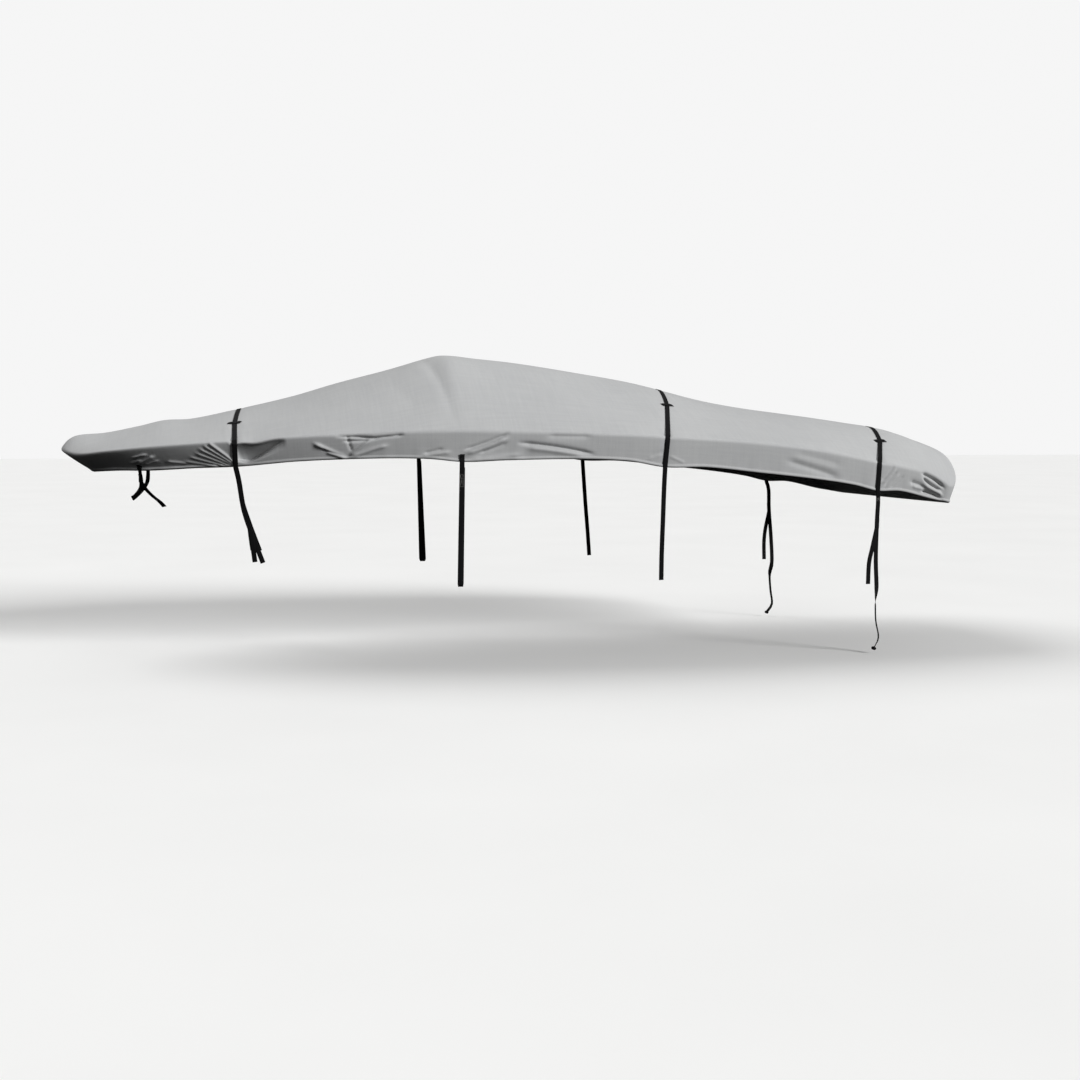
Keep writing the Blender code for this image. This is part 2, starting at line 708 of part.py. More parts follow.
build()
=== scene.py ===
# %% [markdown]
# # A fitted boat cover and its straps
# A boat cover of this kind is one big sheet of coated polyester canvas. It is pulled tight over
# the bow, the windscreen and the transom of a seven metre runabout, folds sharply over the
# gunwale, and ends in a skirt with a rolled hem. Black webbing straps run over it and down to
# the trailer. The boat isn't here: the cover keeps the shape that the boat gives it.

# %% Load the frame
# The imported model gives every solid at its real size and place. All pieces below follow it.
import math
from collections import namedtuple

import bmesh
import bpy
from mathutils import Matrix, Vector
from mathutils.bvhtree import BVHTree


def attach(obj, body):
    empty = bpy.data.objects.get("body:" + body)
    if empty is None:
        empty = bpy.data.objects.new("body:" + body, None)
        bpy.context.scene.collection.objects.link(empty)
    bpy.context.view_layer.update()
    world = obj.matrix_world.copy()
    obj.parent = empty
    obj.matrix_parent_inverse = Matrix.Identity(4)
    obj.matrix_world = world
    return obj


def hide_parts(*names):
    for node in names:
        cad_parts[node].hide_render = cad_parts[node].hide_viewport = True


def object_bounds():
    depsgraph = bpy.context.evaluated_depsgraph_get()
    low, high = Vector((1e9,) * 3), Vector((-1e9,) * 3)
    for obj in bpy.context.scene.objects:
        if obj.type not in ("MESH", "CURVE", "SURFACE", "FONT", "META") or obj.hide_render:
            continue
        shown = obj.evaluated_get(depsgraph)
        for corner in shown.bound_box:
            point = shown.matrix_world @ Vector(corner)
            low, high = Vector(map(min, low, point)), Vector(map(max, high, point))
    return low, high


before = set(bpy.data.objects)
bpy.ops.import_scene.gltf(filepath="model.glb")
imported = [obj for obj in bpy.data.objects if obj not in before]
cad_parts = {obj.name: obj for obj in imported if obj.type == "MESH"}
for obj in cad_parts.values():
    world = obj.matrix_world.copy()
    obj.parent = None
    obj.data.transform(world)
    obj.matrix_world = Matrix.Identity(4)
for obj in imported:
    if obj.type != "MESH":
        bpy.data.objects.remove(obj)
cad_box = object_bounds()
for thing in bpy.context.selected_objects:
    thing.select_set(False)
print("frame:", len(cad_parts), "nodes, box", [[round(v, 3) for v in corner] for corner in cad_box])

# %% [markdown]
# ## Camera
# The cover is seen from the side, a little forward of the middle and at the height of the
# gunwale, with the bow to the left. The camera comes first, because the straps that hang
# down have to stay in its view.

# %% Camera
CAMERA_PLACE = (-1.626, -11.0, -0.590)
CAMERA_TURN = (85.55, 0.0, -12.5)
LENS = 46.67

camera_data = bpy.data.cameras.new("studio_camera")
camera_data.lens = LENS
camera_data.sensor_width = 36.0
camera = bpy.data.objects.new("studio_camera", camera_data)
camera.location = CAMERA_PLACE
camera.rotation_euler = [math.radians(angle) for angle in CAMERA_TURN]
bpy.context.scene.collection.objects.link(camera)
bpy.context.scene.camera = camera
print("camera at", CAMERA_PLACE)

# %% [markdown]
# ## The lines of the cover
# A maker would pattern such a cover from a few lines measured on the boat: the profile of the
# centre line, the gunwale line seen from above and from the side, and the hem. The same lines
# shape the solids, so they are repeated here. Between the rows of a table a smooth curve runs.

# %% Tables of the hull's lines
NEAR, FAR = -1.0, 1.0       # the sign of y on either side
SIDES = (NEAR, FAR)
BOW_X = -2.85
WIDEST_X = 1.30
STERN_X = 3.93
HALF_BEAM = 1.25
BOW_SHARPNESS = 2.2
STERN_NARROWING = 0.16
CORNER_RADIUS = 0.16
TRANSOM_CAMBER = 0.03
SPINE_FORE_X = -2.50
SPINE_AFT_X = 3.55
STERN_SLOPE_FROM = 3.35     # aft of this the top begins to slope straight to the sides
STERN_SLOPE_TO = 3.85
STERN_STRAIGHT = 0.42       # the share of the fall that is straight there
STRAIGHT_CURVE = 1.25       # and its curve: 1 would be quite straight
LEAST_HALF_BEAM = 0.02

Ridge = namedtuple("Ridge", "x z")
RIDGE = [
    Ridge(-2.85, -0.722),
    Ridge(-2.80, -0.660),
    Ridge(-2.73, -0.623),
    Ridge(-2.53, -0.604),
    Ridge(-2.28, -0.553),
    Ridge(-2.10, -0.510),
    Ridge(-1.90, -0.498),
    Ridge(-1.60, -0.434),
    Ridge(-1.15, -0.325),
    Ridge(-0.80, -0.219),
    Ridge(-0.40, -0.112),
    Ridge(-0.10, -0.023),
    Ridge(0.02, 0.000),
    Ridge(0.25, -0.020),
    Ridge(0.60, -0.054),
    Ridge(1.10, -0.126),
    Ridge(1.60, -0.210),
    Ridge(2.10, -0.338),
    Ridge(2.45, -0.402),
    Ridge(2.90, -0.461),
    Ridge(3.40, -0.535),
    Ridge(3.75, -0.593),
    Ridge(3.96, -0.640),
]

# At each x: the height of the gunwale fold, how full the top is between fold and ridge, the
# height of the hem, and how far the hem is drawn in under the fold.
Section = namedtuple("Section", "x rail_z fullness hem_z tuck")
SECTIONS = [
    Section(-2.85, -0.724, 1.6, -0.893, 0.235),
    Section(-2.72, -0.760, 1.6, -0.886, 0.215),
    Section(-2.50, -0.736, 1.5, -0.876, 0.180),
    Section(-2.25, -0.709, 1.5, -0.873, 0.150),
    Section(-1.90, -0.680, 1.5, -0.853, 0.120),
    Section(-1.58, -0.660, 1.5, -0.840, 0.095),
    Section(-1.15, -0.631, 1.6, -0.802, 0.075),
    Section(-0.60, -0.604, 1.9, -0.782, 0.055),
    Section(-0.25, -0.594, 2.1, -0.786, 0.045),
    Section(0.00, -0.591, 2.1, -0.808, 0.045),
    Section(0.30, -0.595, 2.0, -0.797, 0.040),
    Section(0.80, -0.608, 1.8, -0.790, 0.034),
    Section(1.20, -0.620, 1.6, -0.806, 0.032),
    Section(1.48, -0.634, 1.6, -0.852, 0.034),
    Section(1.80, -0.652, 1.6, -0.856, 0.032),
    Section(2.20, -0.680, 1.8, -0.897, 0.032),
    Section(2.70, -0.737, 2.2, -0.953, 0.032),
    Section(3.00, -0.790, 2.6, -0.998, 0.034),
    Section(3.20, -0.830, 2.9, -1.045, 0.036),
    Section(3.40, -0.864, 3.4, -1.050, 0.034),
    Section(3.70, -0.940, 6.0, -1.118, 0.036),
    Section(3.96, -1.110, 9.0, -1.156, 0.055),
]


def clamp(value):
    """The value, kept between 0 and 1."""
    return min(max(value, 0.0), 1.0)


def smooth_column(rows, column, x):
    """Value of one column at x, along a smooth curve through the rows."""
    x = min(max(x, rows[0].x), rows[-1].x)
    index = 0
    while index < len(rows) - 2 and rows[index + 1].x < x:
        index += 1

    def slope(i):
        low = max(i - 1, 0)
        high = min(i + 1, len(rows) - 1)
        rise = getattr(rows[high], column) - getattr(rows[low], column)
        return rise / (rows[high].x - rows[low].x)

    left, right = rows[index], rows[index + 1]
    span = right.x - left.x
    t = (x - left.x) / span
    a, b = getattr(left, column), getattr(right, column)
    return (
        a * (2 * t**3 - 3 * t**2 + 1)
        + slope(index) * span * (t**3 - 2 * t**2 + t)
        + b * (3 * t**2 - 2 * t**3)
        + slope(index + 1) * span * (t**3 - t**2)
    )


def half_beam(x):
    """Half the width of the gunwale line at x, before its stern corners are rounded."""
    if x <= WIDEST_X:
        forward = min((WIDEST_X - x) / (WIDEST_X - BOW_X), 1.0)
        return HALF_BEAM * math.sqrt(max(1.0 - forward**BOW_SHARPNESS, 0.0))
    aft = (x - WIDEST_X) / (STERN_X - WIDEST_X)
    return HALF_BEAM - STERN_NARROWING * aft**2


def beam_share(x, y):
    """How far out a point of the plan lies: 0 on the centre line, 1 on the gunwale."""
    return abs(y) / max(half_beam(x), LEAST_HALF_BEAM)


def top_height(x, y):
    """Height of the stretched top over a point of the plan."""
    ridge = smooth_column(RIDGE, "z", x)
    rail = min(smooth_column(SECTIONS, "rail_z", x), ridge - 0.001)
    across = min(beam_share(x, y), 1.0)
    aft = clamp((x - STERN_SLOPE_FROM) / (STERN_SLOPE_TO - STERN_SLOPE_FROM))
    straight = STERN_STRAIGHT * aft**2 * (3 - 2 * aft)
    full = across ** smooth_column(SECTIONS, "fullness", x)
    return ridge - (ridge - rail) * (straight * across**STRAIGHT_CURVE + (1 - straight) * full)


print("beam amidships", 2 * half_beam(WIDEST_X), "m; top over the windscreen", top_height(0.0, 0.0))

# %% [markdown]
# ## Creases
# Tight canvas doesn't wrinkle at random. Each strap drags the hem down, and the cloth between
# answers with creases that fan out from that point, one crest beside one hollow. Loose cloth
# over the gunwale drops into a pocket. A cloth simulation could find creases of its own, but
# not these ones, so each is listed one by one: where it starts and ends, how much its middle sags,
# how wide it is, and how far it stands out (or, negative, sinks in). Places on the skirt are x
# and the drop below the gunwale; those on the top are x and y.

# %% Table of the creases
Crease = namedtuple("Crease", "x0 drop0 x1 drop1 sag width height")
CREASES = [
    # The bow, where the skirt turns far under and only a few crests catch the light.
    Crease(-2.330, 0.066, -2.215, 0.050, 0.000, 0.007, 0.016),
    Crease(-2.360, 0.100, -2.275, 0.086, 0.000, 0.006, 0.013),
    Crease(-2.300, 0.108, -2.170, 0.066, 0.004, 0.009, 0.021),
    Crease(-2.260, 0.122, -2.150, 0.098, 0.000, 0.006, 0.012),
    Crease(-2.090, 0.112, -1.950, 0.136, 0.000, 0.008, 0.011),
    # The fan that runs into the hem at the fore strap.
    Crease(-1.770, -0.004, -1.598, 0.156, 0.000, 0.009, 0.015),
    Crease(-1.800, 0.020, -1.612, 0.162, 0.000, 0.008, 0.014),
    Crease(-1.836, 0.041, -1.628, 0.165, 0.000, 0.008, 0.013),
    Crease(-1.868, 0.068, -1.650, 0.169, 0.000, 0.0075, 0.012),
    Crease(-1.915, 0.094, -1.676, 0.172, 0.000, 0.007, 0.011),
    Crease(-1.965, 0.119, -1.725, 0.173, 0.000, 0.007, 0.010),
    Crease(-1.665, -0.045, -1.606, 0.036, 0.000, 0.009, 0.010),
    Crease(-1.642, -0.030, -1.590, 0.060, 0.000, 0.010, -0.013),
    # The pucker on the hem further aft.
    Crease(-1.045, 0.052, -0.835, 0.160, 0.004, 0.011, 0.019),
    Crease(-1.000, 0.092, -0.845, 0.154, 0.000, 0.008, -0.016),
    Crease(-0.960, 0.118, -0.838, 0.166, 0.000, 0.008, 0.012),
    Crease(-0.650, 0.040, -0.802, 0.152, 0.000, 0.010, 0.016),
    Crease(-0.540, 0.090, -0.786, 0.162, -0.006, 0.012, 0.014),
    Crease(-0.890, 0.004, -0.623, 0.036, 0.000, 0.009, -0.026),
    Crease(-0.640, 0.036, -0.430, 0.018, 0.000, 0.008, -0.022),
    Crease(-0.835, 0.046, -0.660, 0.050, 0.000, 0.008, -0.018),
    Crease(-0.820, 0.010, -0.790, 0.115, 0.000, 0.008, -0.012),
    # Either side of the strap that is sewn to the hem.
    Crease(0.010, 0.128, 0.310, 0.012, 0.008, 0.010, -0.018),
    Crease(0.015, 0.158, 0.305, 0.044, 0.008, 0.014, 0.016),
    Crease(0.114, 0.150, 0.300, 0.078, 0.006, 0.009, -0.013),
    Crease(0.050, 0.200, 0.401, 0.160, 0.006, 0.016, 0.010),
    Crease(-0.275, 0.153, -0.155, 0.122, 0.000, 0.008, -0.011),
    Crease(-0.300, 0.172, -0.100, 0.148, 0.000, 0.011, 0.010),
    # The long crease amidships and the soft one above it.
    Crease(0.400, 0.078, 0.930, 0.142, -0.010, 0.012, -0.022),
    Crease(0.450, 0.112, 0.860, 0.158, -0.006, 0.018, 0.012),
    Crease(0.600, 0.022, 0.910, 0.016, 0.000, 0.018, -0.010),
    # Either side of the middle strap.
    Crease(1.350, 0.170, 1.440, 0.130, 0.000, 0.008, 0.004),
    Crease(1.375, 0.145, 1.450, 0.095, 0.000, 0.008, -0.004),
    Crease(1.515, 0.140, 1.620, 0.178, 0.000, 0.008, 0.005),
    # Dents towards the aft strap.
    Crease(2.440, 0.108, 2.850, 0.172, 0.000, 0.024, -0.011),
    Crease(2.500, 0.042, 2.880, 0.078, 0.000, 0.028, -0.004),
    Crease(2.480, 0.078, 2.860, 0.122, 0.000, 0.024, 0.003),
    # The fan behind the aft strap.
    Crease(3.232, 0.130, 3.325, 0.008, 0.000, 0.007, -0.007),
    Crease(3.240, 0.152, 3.338, 0.026, 0.000, 0.006, 0.007),
    Crease(3.256, 0.166, 3.350, 0.044, 0.000, 0.006, -0.007),
    Crease(3.272, 0.182, 3.368, 0.062, 0.000, 0.006, 0.006),
    Crease(3.313, 0.176, 3.410, 0.066, 0.000, 0.006, -0.006),
    # The eye shaped pucker by the stern corner.
    Crease(3.575, 0.018, 3.765, 0.046, -0.004, 0.012, -0.036),
    Crease(3.585, 0.044, 3.745, 0.080, 0.020, 0.010, -0.028),
    Crease(3.590, 0.098, 3.760, 0.110, 0.010, 0.014, 0.018),
    Crease(3.585, 0.150, 3.755, 0.138, 0.000, 0.010, -0.030),
    Crease(3.480, 0.098, 3.595, 0.112, 0.000, 0.018, -0.016),
    Crease(3.500, 0.130, 3.590, 0.132, 0.000, 0.012, 0.010),
]
FAR_SIDE_SHARE = 0.75       # the other side's creases are a little shallower
FAR_SIDE_SHIFT = 0.05       # and lie a little further aft

# The pocket behind the fore strap: the cloth leans in below the gunwale, deeper and deeper down
# to the line given here, and from there comes back out over the height in the last column.
Pocket = namedtuple("Pocket", "x low depth back")
POCKET = [
    Pocket(-1.604, 0.126, 0.000, 0.020),
    Pocket(-1.584, 0.130, 0.062, 0.020),
    Pocket(-1.555, 0.138, 0.086, 0.020),
    Pocket(-1.517, 0.142, 0.096, 0.020),
    Pocket(-1.455, 0.120, 0.090, 0.028),
    Pocket(-1.400, 0.090, 0.072, 0.042),
    Pocket(-1.310, 0.042, 0.036, 0.060),
    Pocket(-1.240, 0.020, 0.000, 0.060),
]
POCKET_FALL_CURVE = 0.7     # less than 1 leans the cloth in early
POCKET_BACK_CURVE = 1.5

# Across the transom a crease is placed by y and its drop.
TransomCrease = namedtuple("TransomCrease", "y0 drop0 y1 drop1 sag width height")
TRANSOM_CREASES = [
    TransomCrease(-0.95, 0.030, -0.60, 0.060, 0.010, 0.018, -0.012),
    TransomCrease(-0.86, 0.078, -0.52, 0.092, 0.010, 0.016, 0.010),
    TransomCrease(-0.30, 0.050, 0.25, 0.040, 0.020, 0.024, -0.008),
    TransomCrease(0.48, 0.084, 0.88, 0.060, 0.010, 0.016, 0.010),
    TransomCrease(0.56, 0.048, 0.94, 0.024, 0.008, 0.018, -0.012),
]

# Where the gunwale fold is pulled down: at the straps, and into the pocket behind the first.
Dip = namedtuple("Dip", "x reach depth")
DIPS = [
    Dip(-1.575, 0.035, 0.010),
    Dip(-1.455, 0.105, 0.026),
    Dip(-0.760, 0.140, 0.006),
    Dip(1.485, 0.060, 0.005),
    Dip(3.205, 0.060, 0.006),
    Dip(3.670, 0.080, 0.008),
]

TopCrease = namedtuple("TopCrease", "x0 y0 x1 y1 width height")
TOP_CREASES = [
    TopCrease(-0.165, -0.220, -0.050, -1.150, 0.040, -0.012),   # from the windscreen's corner
    TopCrease(-0.085, -0.300, -0.120, -0.640, 0.070, -0.008),
    TopCrease(0.020, -0.300, -0.030, -0.900, 0.060, 0.006),
    TopCrease(0.265, -0.450, 0.330, -0.740, 0.022, -0.005),
    TopCrease(-0.900, -0.600, -0.750, -0.745, 0.022, 0.004),
    TopCrease(-0.460, -0.560, -0.310, -0.970, 0.045, -0.005),
    TopCrease(3.060, -0.975, 3.200, -1.016, 0.018, -0.007),
    TopCrease(3.030, -0.815, 3.085, -0.900, 0.018, 0.004),
    TopCrease(-1.665, -0.720, -1.625, -0.560, 0.018, 0.004),
    TopCrease(-1.500, -0.700, -1.540, -0.520, 0.018, 0.004),
]
print(len(CREASES), "creases on the skirt,", len(TOP_CREASES), "on the top")

# %% [markdown]
# ## How deep the creases are at a place
# Every crease is a line with a soft bell across it that fades towards its ends. The sum of all
# the bells is the relief of the cloth. A slow, uneven ripple is added near the hem, where the
# drawn cord gathers the cloth, and a very shallow one on the top.


# %% Relief functions
END_FADE = 0.16             # share of a crease's length over which each end fades
END_LEAD = 0.04             # how far past its end it would fade out, as a share too
BELL_REACH = 2.8            # widths from its line to where a crease isn't felt
CREASE_MARGIN = 0.1         # farther than this past its ends a crease needn't be looked at
TRANSOM_FROM = STERN_X - 0.01
TOP_UNEVENNESS = 0.0018
GATHER_HEIGHT = 0.0016


def bell(place, start, end, sag, width):
    """How much of a crease is felt at a place: 1 on its line, 0 away from it."""
    run = end - start
    along = clamp((place - start).dot(run) / run.length_squared)
    on_line = start + run * along + Vector((0.0, 4.0 * sag * along * (1.0 - along)))
    away = (place - on_line).length / width
    if away > BELL_REACH:
        return 0.0
    fade = min(1.0, (along + END_LEAD) / END_FADE, (1.0 + END_LEAD - along) / END_FADE)
    return fade * math.exp(-0.9 * away**1.7)


def share_and_shift(side):
    """How a side's creases differ from the near side's: in depth, and in place."""
    return (1.0, 0.0) if side == NEAR else (FAR_SIDE_SHARE, FAR_SIDE_SHIFT)


def skirt_relief(x, y, drop, side):
    """How far the cloth stands out from the smooth skirt at a place."""
    share, shift = share_and_shift(side)
    if x > TRANSOM_FROM:
        place = Vector((y, drop))
        return sum(
            c.height * bell(place, Vector((c.y0, c.drop0)), Vector((c.y1, c.drop1)), c.sag, c.width)
            for c in TRANSOM_CREASES
        )
    place = Vector((x - shift, drop))
    relief = 0.0
    for c in CREASES:
        if min(c.x0, c.x1) - CREASE_MARGIN < place.x < max(c.x0, c.x1) + CREASE_MARGIN:
            start, end = Vector((c.x0, c.drop0)), Vector((c.x1, c.drop1))
            relief += c.height * bell(place, start, end, c.sag, c.width)
    return share * (relief - pocket_depth(x - shift, drop))


def pocket_depth(x, drop):
    """How far the pocket's cloth lies inside the smooth skirt."""
    if not POCKET[0].x < x < POCKET[-1].x:
        return 0.0
    low = smooth_column(POCKET, "low", x)
    depth = smooth_column(POCKET, "depth", x)
    if drop < low:
        return depth * (drop / low) ** POCKET_FALL_CURVE
    back = smooth_column(POCKET, "back", x)
    return depth * max(1 - (drop - low) / back, 0.0) ** POCKET_BACK_CURVE


def top_relief(x, y):
    """How far the cloth stands up from the smooth top at a place."""
    share = 1.0 if y < 0 else FAR_SIDE_SHARE
    place = Vector((x, -abs(y)))
    relief = 0.0
    for c in TOP_CREASES:
        start, end = Vector((c.x0, c.y0)), Vector((c.x1, c.y1))
        relief += share * c.height * bell(place, start, end, 0.0, c.width)
    slow = math.sin(2.1 * x + 1.3 * y) * math.sin(3.3 * y - 0.8 * x + 1.0)
    return relief + TOP_UNEVENNESS * slow


def ripple(along, share):
    """The gathers above the hem, in two waves that never fall in step; along is the way round."""
    wave = math.sin(31.0 * along + 1.9 * math.sin(3.7 * along)) + 0.7 * math.sin(53.0 * along + 2.0)
    slow = 0.5 + 0.5 * math.sin(2.3 * along + 0.9 * math.sin(5.1 * along))
    return GATHER_HEIGHT * wave * slow * share**2


def gunwale_dip(x, side):
    """How far the gunwale fold is pulled down at x."""
    share, shift = share_and_shift(side)
    return share * sum(dip.depth * math.exp(-(((x - shift - dip.x) / dip.reach) ** 2)) for dip in DIPS)


print("pocket behind the fore strap is", round(pocket_depth(POCKET[3].x, POCKET[3].low), 3), "m deep")

# %% [markdown]
# ## Straps that cross the cover
# Three straps go from the trailer, up one side, over the top, and down the other side. A short
# tape sewn across each strap on either side keeps it in place. Their routes come before the
# cloth, because a tight strap presses the canvas down under it.

# %% Routes of the straps
WEB_WIDTH = 0.036
WEB_THICKNESS = 0.0022
WEB_LIFT = 0.0024           # from the cloth to the middle of the webbing

# The x of each strap at the ridge, its loop, the gunwale and the hem, then where its loop is as
# a share of the half beam, and how many degrees the loop is turned.
Crossing = namedtuple("Crossing", "name ridge_x loop_x rail_x hem_x loop_at loop_turn")
CROSSINGS = [
    Crossing("fore", -1.545, -1.583, -1.588, -1.582, 0.59, -20),
    Crossing("mid", 1.788, 1.650, 1.487, 1.476, 0.57, 17),
    Crossing("aft", 3.559, 3.331, 3.195, 3.200, 0.77, 13),
]
ROUTE_CURVE = 1.1           # 1 would take a strap straight from the ridge to its loop
PRESS_DEPTH = 0.004
PRESS_REACH = 0.030
PRESS_END = 3.0             # reaches from a strap to where its press isn't felt


def crossing_x(crossing, share):
    """Where a crossing strap lies at a share of the half beam."""
    if share < crossing.loop_at:
        bend = (share / crossing.loop_at) ** ROUTE_CURVE
        return crossing.ridge_x + (crossing.loop_x - crossing.ridge_x) * bend
    bend = (share - crossing.loop_at) / (1 - crossing.loop_at)
    return crossing.loop_x + (crossing.rail_x - crossing.loop_x) * bend


def strap_press(x, share):
    """How far the straps press the cloth down at x and that share of the half beam."""
    press = 0.0
    for crossing in CROSSINGS:
        away = (x - crossing_x(crossing, min(share, 1.0))) / PRESS_REACH
        if abs(away) < PRESS_END:
            press += PRESS_DEPTH * math.exp(-away * away)
    return press


print("straps cross the centre line at", [crossing.ridge_x for crossing in CROSSINGS])

# %% [markdown]
# ## The sheet
# The cloth is built as ribs. Each rib starts on the centre line, runs out over the top, rounds
# the gunwale and ends in the hem, and neighbouring ribs are joined by faces. The ribs stand
# close together where the creases are, and wide apart where the canvas is smooth. Solidify then
# gives the sheet its thickness. Building it from ribs keeps the edge flow along the gunwale and
# the hem, as it lies in the real cover, which a subdivided box would not.

# %% Ribs
CLOTH_THICKNESS = 0.0020
FOLD_RADIUS = 0.014         # softness of the fold over the gunwale
HEM_ROLL = 0.0065           # how far the rolled hem stands out
BOW_HEM_EXTRA = 0.0170      # and how much further at the bow, where more cloth is gathered in it
BOW_HEM_FROM = -2.75
BOW_HEM_TO = -1.80
BOW_HEM_RISE = 0.20         # the lengths over which that begins and ends
BOW_HEM_FALL = 0.25
HEM_ROLL_HEIGHT = 0.022
HEM_ROLL_CURVE = 0.7        # less than 1 makes the roll fullest below its middle
TUCK_CURVE = 1.15           # more than 1 draws the skirt in a little faster near the hem
DIP_CURVE = 14              # the gunwale's dips stay this close to it
TOP_RELIEF_CURVE = 8        # and the top's creases fade out before it
CORNER_RELIEF = 0.6         # how much of the skirt's relief reaches the fold itself

# From each x on, how far apart the ribs are on the near side and on the far side.
Spacing = namedtuple("Spacing", "x near far")
RIB_SPACING = [
    Spacing(-2.85, 0.0120, 0.034),
    Spacing(-2.10, 0.0085, 0.030),
    Spacing(-2.00, 0.0060, 0.030),
    Spacing(-1.53, 0.0085, 0.030),
    Spacing(-1.25, 0.0100, 0.030),
    Spacing(-0.40, 0.0105, 0.032),
    Spacing(0.45, 0.0130, 0.034),
    Spacing(1.30, 0.0110, 0.030),
    Spacing(1.70, 0.0260, 0.044),
    Spacing(2.40, 0.0200, 0.038),
    Spacing(3.18, 0.0070, 0.028),
    Spacing(3.80, 0.0160, 0.028),
]
TOP_ROW_COUNT = 14
TOP_ROW_CROWDING = 1.9      # more than 1 crowds the rows towards the gunwale
FOLD_STEPS = (0.0, 0.25, 0.5, 0.75, 1.0)
SKIRT_ROW_COUNT = 22
HEM_STEPS = (1.0, 0.8, 0.6, 0.4, 0.2, 0.0)
BOW_POINTS = 3000           # the outline is first drawn in many short steps
SIDE_POINTS = 1500
CORNER_POINTS = 200
TRANSOM_POINTS = 600
TRANSOM_RIBS_FROM = STERN_X - 0.02
TRANSOM_RIB_SPACING = 0.018
LEAST_RIB_SPACING = 0.006


def outline_points(side, spacing_column):
    """The gunwale line of one side, bow to stern, as (x, y) pairs spaced by the table."""
    dense = []
    for i in range(BOW_POINTS + 1):
        angle = math.pi / 2 * i / BOW_POINTS
        x = WIDEST_X - (WIDEST_X - BOW_X) * math.cos(angle) ** (2 / BOW_SHARPNESS)
        dense.append((x, HALF_BEAM * math.sin(angle)))
    corner_x = STERN_X - CORNER_RADIUS
    for i in range(1, SIDE_POINTS + 1):
        x = WIDEST_X + (corner_x - WIDEST_X) * i / SIDE_POINTS
        dense.append((x, half_beam(x)))
    corner_y = half_beam(corner_x) - CORNER_RADIUS
    for i in range(1, CORNER_POINTS + 1):
        angle = math.pi / 2 * (1 - i / CORNER_POINTS)
        x = corner_x + CORNER_RADIUS * math.cos(angle)
        dense.append((x, corner_y + CORNER_RADIUS * math.sin(angle)))
    for i in range(1, TRANSOM_POINTS + 1):
        y = corner_y * (1 - i / TRANSOM_POINTS)
        dense.append((STERN_X + TRANSOM_CAMBER * (1 - (y / corner_y) ** 2), y))

    picked = [dense[0]]
    since = 0.0
    row = 0
    for before, point in zip(dense, dense[1:]):
        since += math.dist(before, point)
        while row < len(RIB_SPACING) - 1 and before[0] >= RIB_SPACING[row + 1].x:
            row += 1
        step = getattr(RIB_SPACING[row], spacing_column)
        if point[0] > TRANSOM_RIBS_FROM:
            step = max(step, TRANSOM_RIB_SPACING)
        if since >= step:
            picked.append(point)
            since = 0.0
    if math.dist(picked[-1], dense[-1]) < LEAST_RIB_SPACING:
        picked.pop()
    picked.append(dense[-1])
    return [(x, side * y) for x, y in picked]


def outward(points, index):
    """Unit vector out of the plan outline at one of its points."""
    before = Vector(points[index - 1])
    after = Vector(points[(index + 1) % len(points)])
    along = (after - before).normalized()
    return Vector((along.y, -along.x, 0.0))


def bow_hem_share(x):
    """How much of the bow's fuller hem there is at x."""
    return clamp((BOW_HEM_TO - x) / BOW_HEM_FALL) * clamp((x - BOW_HEM_FROM) / BOW_HEM_RISE)


def rib(points, index, along):
    """Places of one rib, from beside the centre line over the gunwale to the hem."""
    x, y = points[index]
    side = NEAR if y <= 0 else FAR
    out = outward(points, index)
    foot = Vector((min(max(x, SPINE_FORE_X), SPINE_AFT_X), 0.0, 0.0))
    edge = Vector((x, y, 0.0))
    dip = gunwale_dip(x, side)
    edge_z = top_height(x, y) - dip
    reach = (edge - foot).length

    def on_top(share):
        place = foot.lerp(edge, share)
        sunk = dip * share**DIP_CURVE + strap_press(place.x, beam_share(place.x, place.y))
        relief = top_relief(place.x, place.y) * (1 - share**TOP_RELIEF_CURVE)
        place.z = top_height(place.x, place.y) + relief - sunk
        return place

    inner = 1.0 - FOLD_RADIUS / reach
    places = []
    for k in range(1, TOP_ROW_COUNT):
        share = inner * (1.0 - (1.0 - k / TOP_ROW_COUNT) ** TOP_ROW_CROWDING)
        places.append(on_top(share))

    hem_z = smooth_column(SECTIONS, "hem_z", x)
    tuck = smooth_column(SECTIONS, "tuck", x)
    height = edge_z - hem_z
    stand_out = HEM_ROLL + BOW_HEM_EXTRA * bow_hem_share(x)

    def on_skirt(drop):
        share = drop / height
        above = dip + drop
        relief = skirt_relief(x, y, above, side) + ripple(along, share)
        if x < STERN_X - CORNER_RADIUS:
            relief -= strap_press(x, 1.0)
        to_hem = height - drop
        roll = stand_out * math.sin(math.pi * clamp(to_hem / HEM_ROLL_HEIGHT) ** HEM_ROLL_CURVE)
        place = edge - out * (tuck * share**TUCK_CURVE - relief - roll)
        place.z = edge_z - drop
        return place

    start = on_top(inner)
    end = on_skirt(FOLD_RADIUS)
    corner = Vector((x, y, edge_z)) + out * CORNER_RELIEF * skirt_relief(x, y, 0.0, side)
    for t in FOLD_STEPS:
        places.append(start * (1 - t) ** 2 + corner * 2 * t * (1 - t) + end * t**2)
    for k in range(1, SKIRT_ROW_COUNT):
        drop = FOLD_RADIUS + (height - HEM_ROLL_HEIGHT - FOLD_RADIUS) * k / SKIRT_ROW_COUNT
        places.append(on_skirt(drop))
    for step in HEM_STEPS:
        places.append(on_skirt(height - HEM_ROLL_HEIGHT * step))
    return places


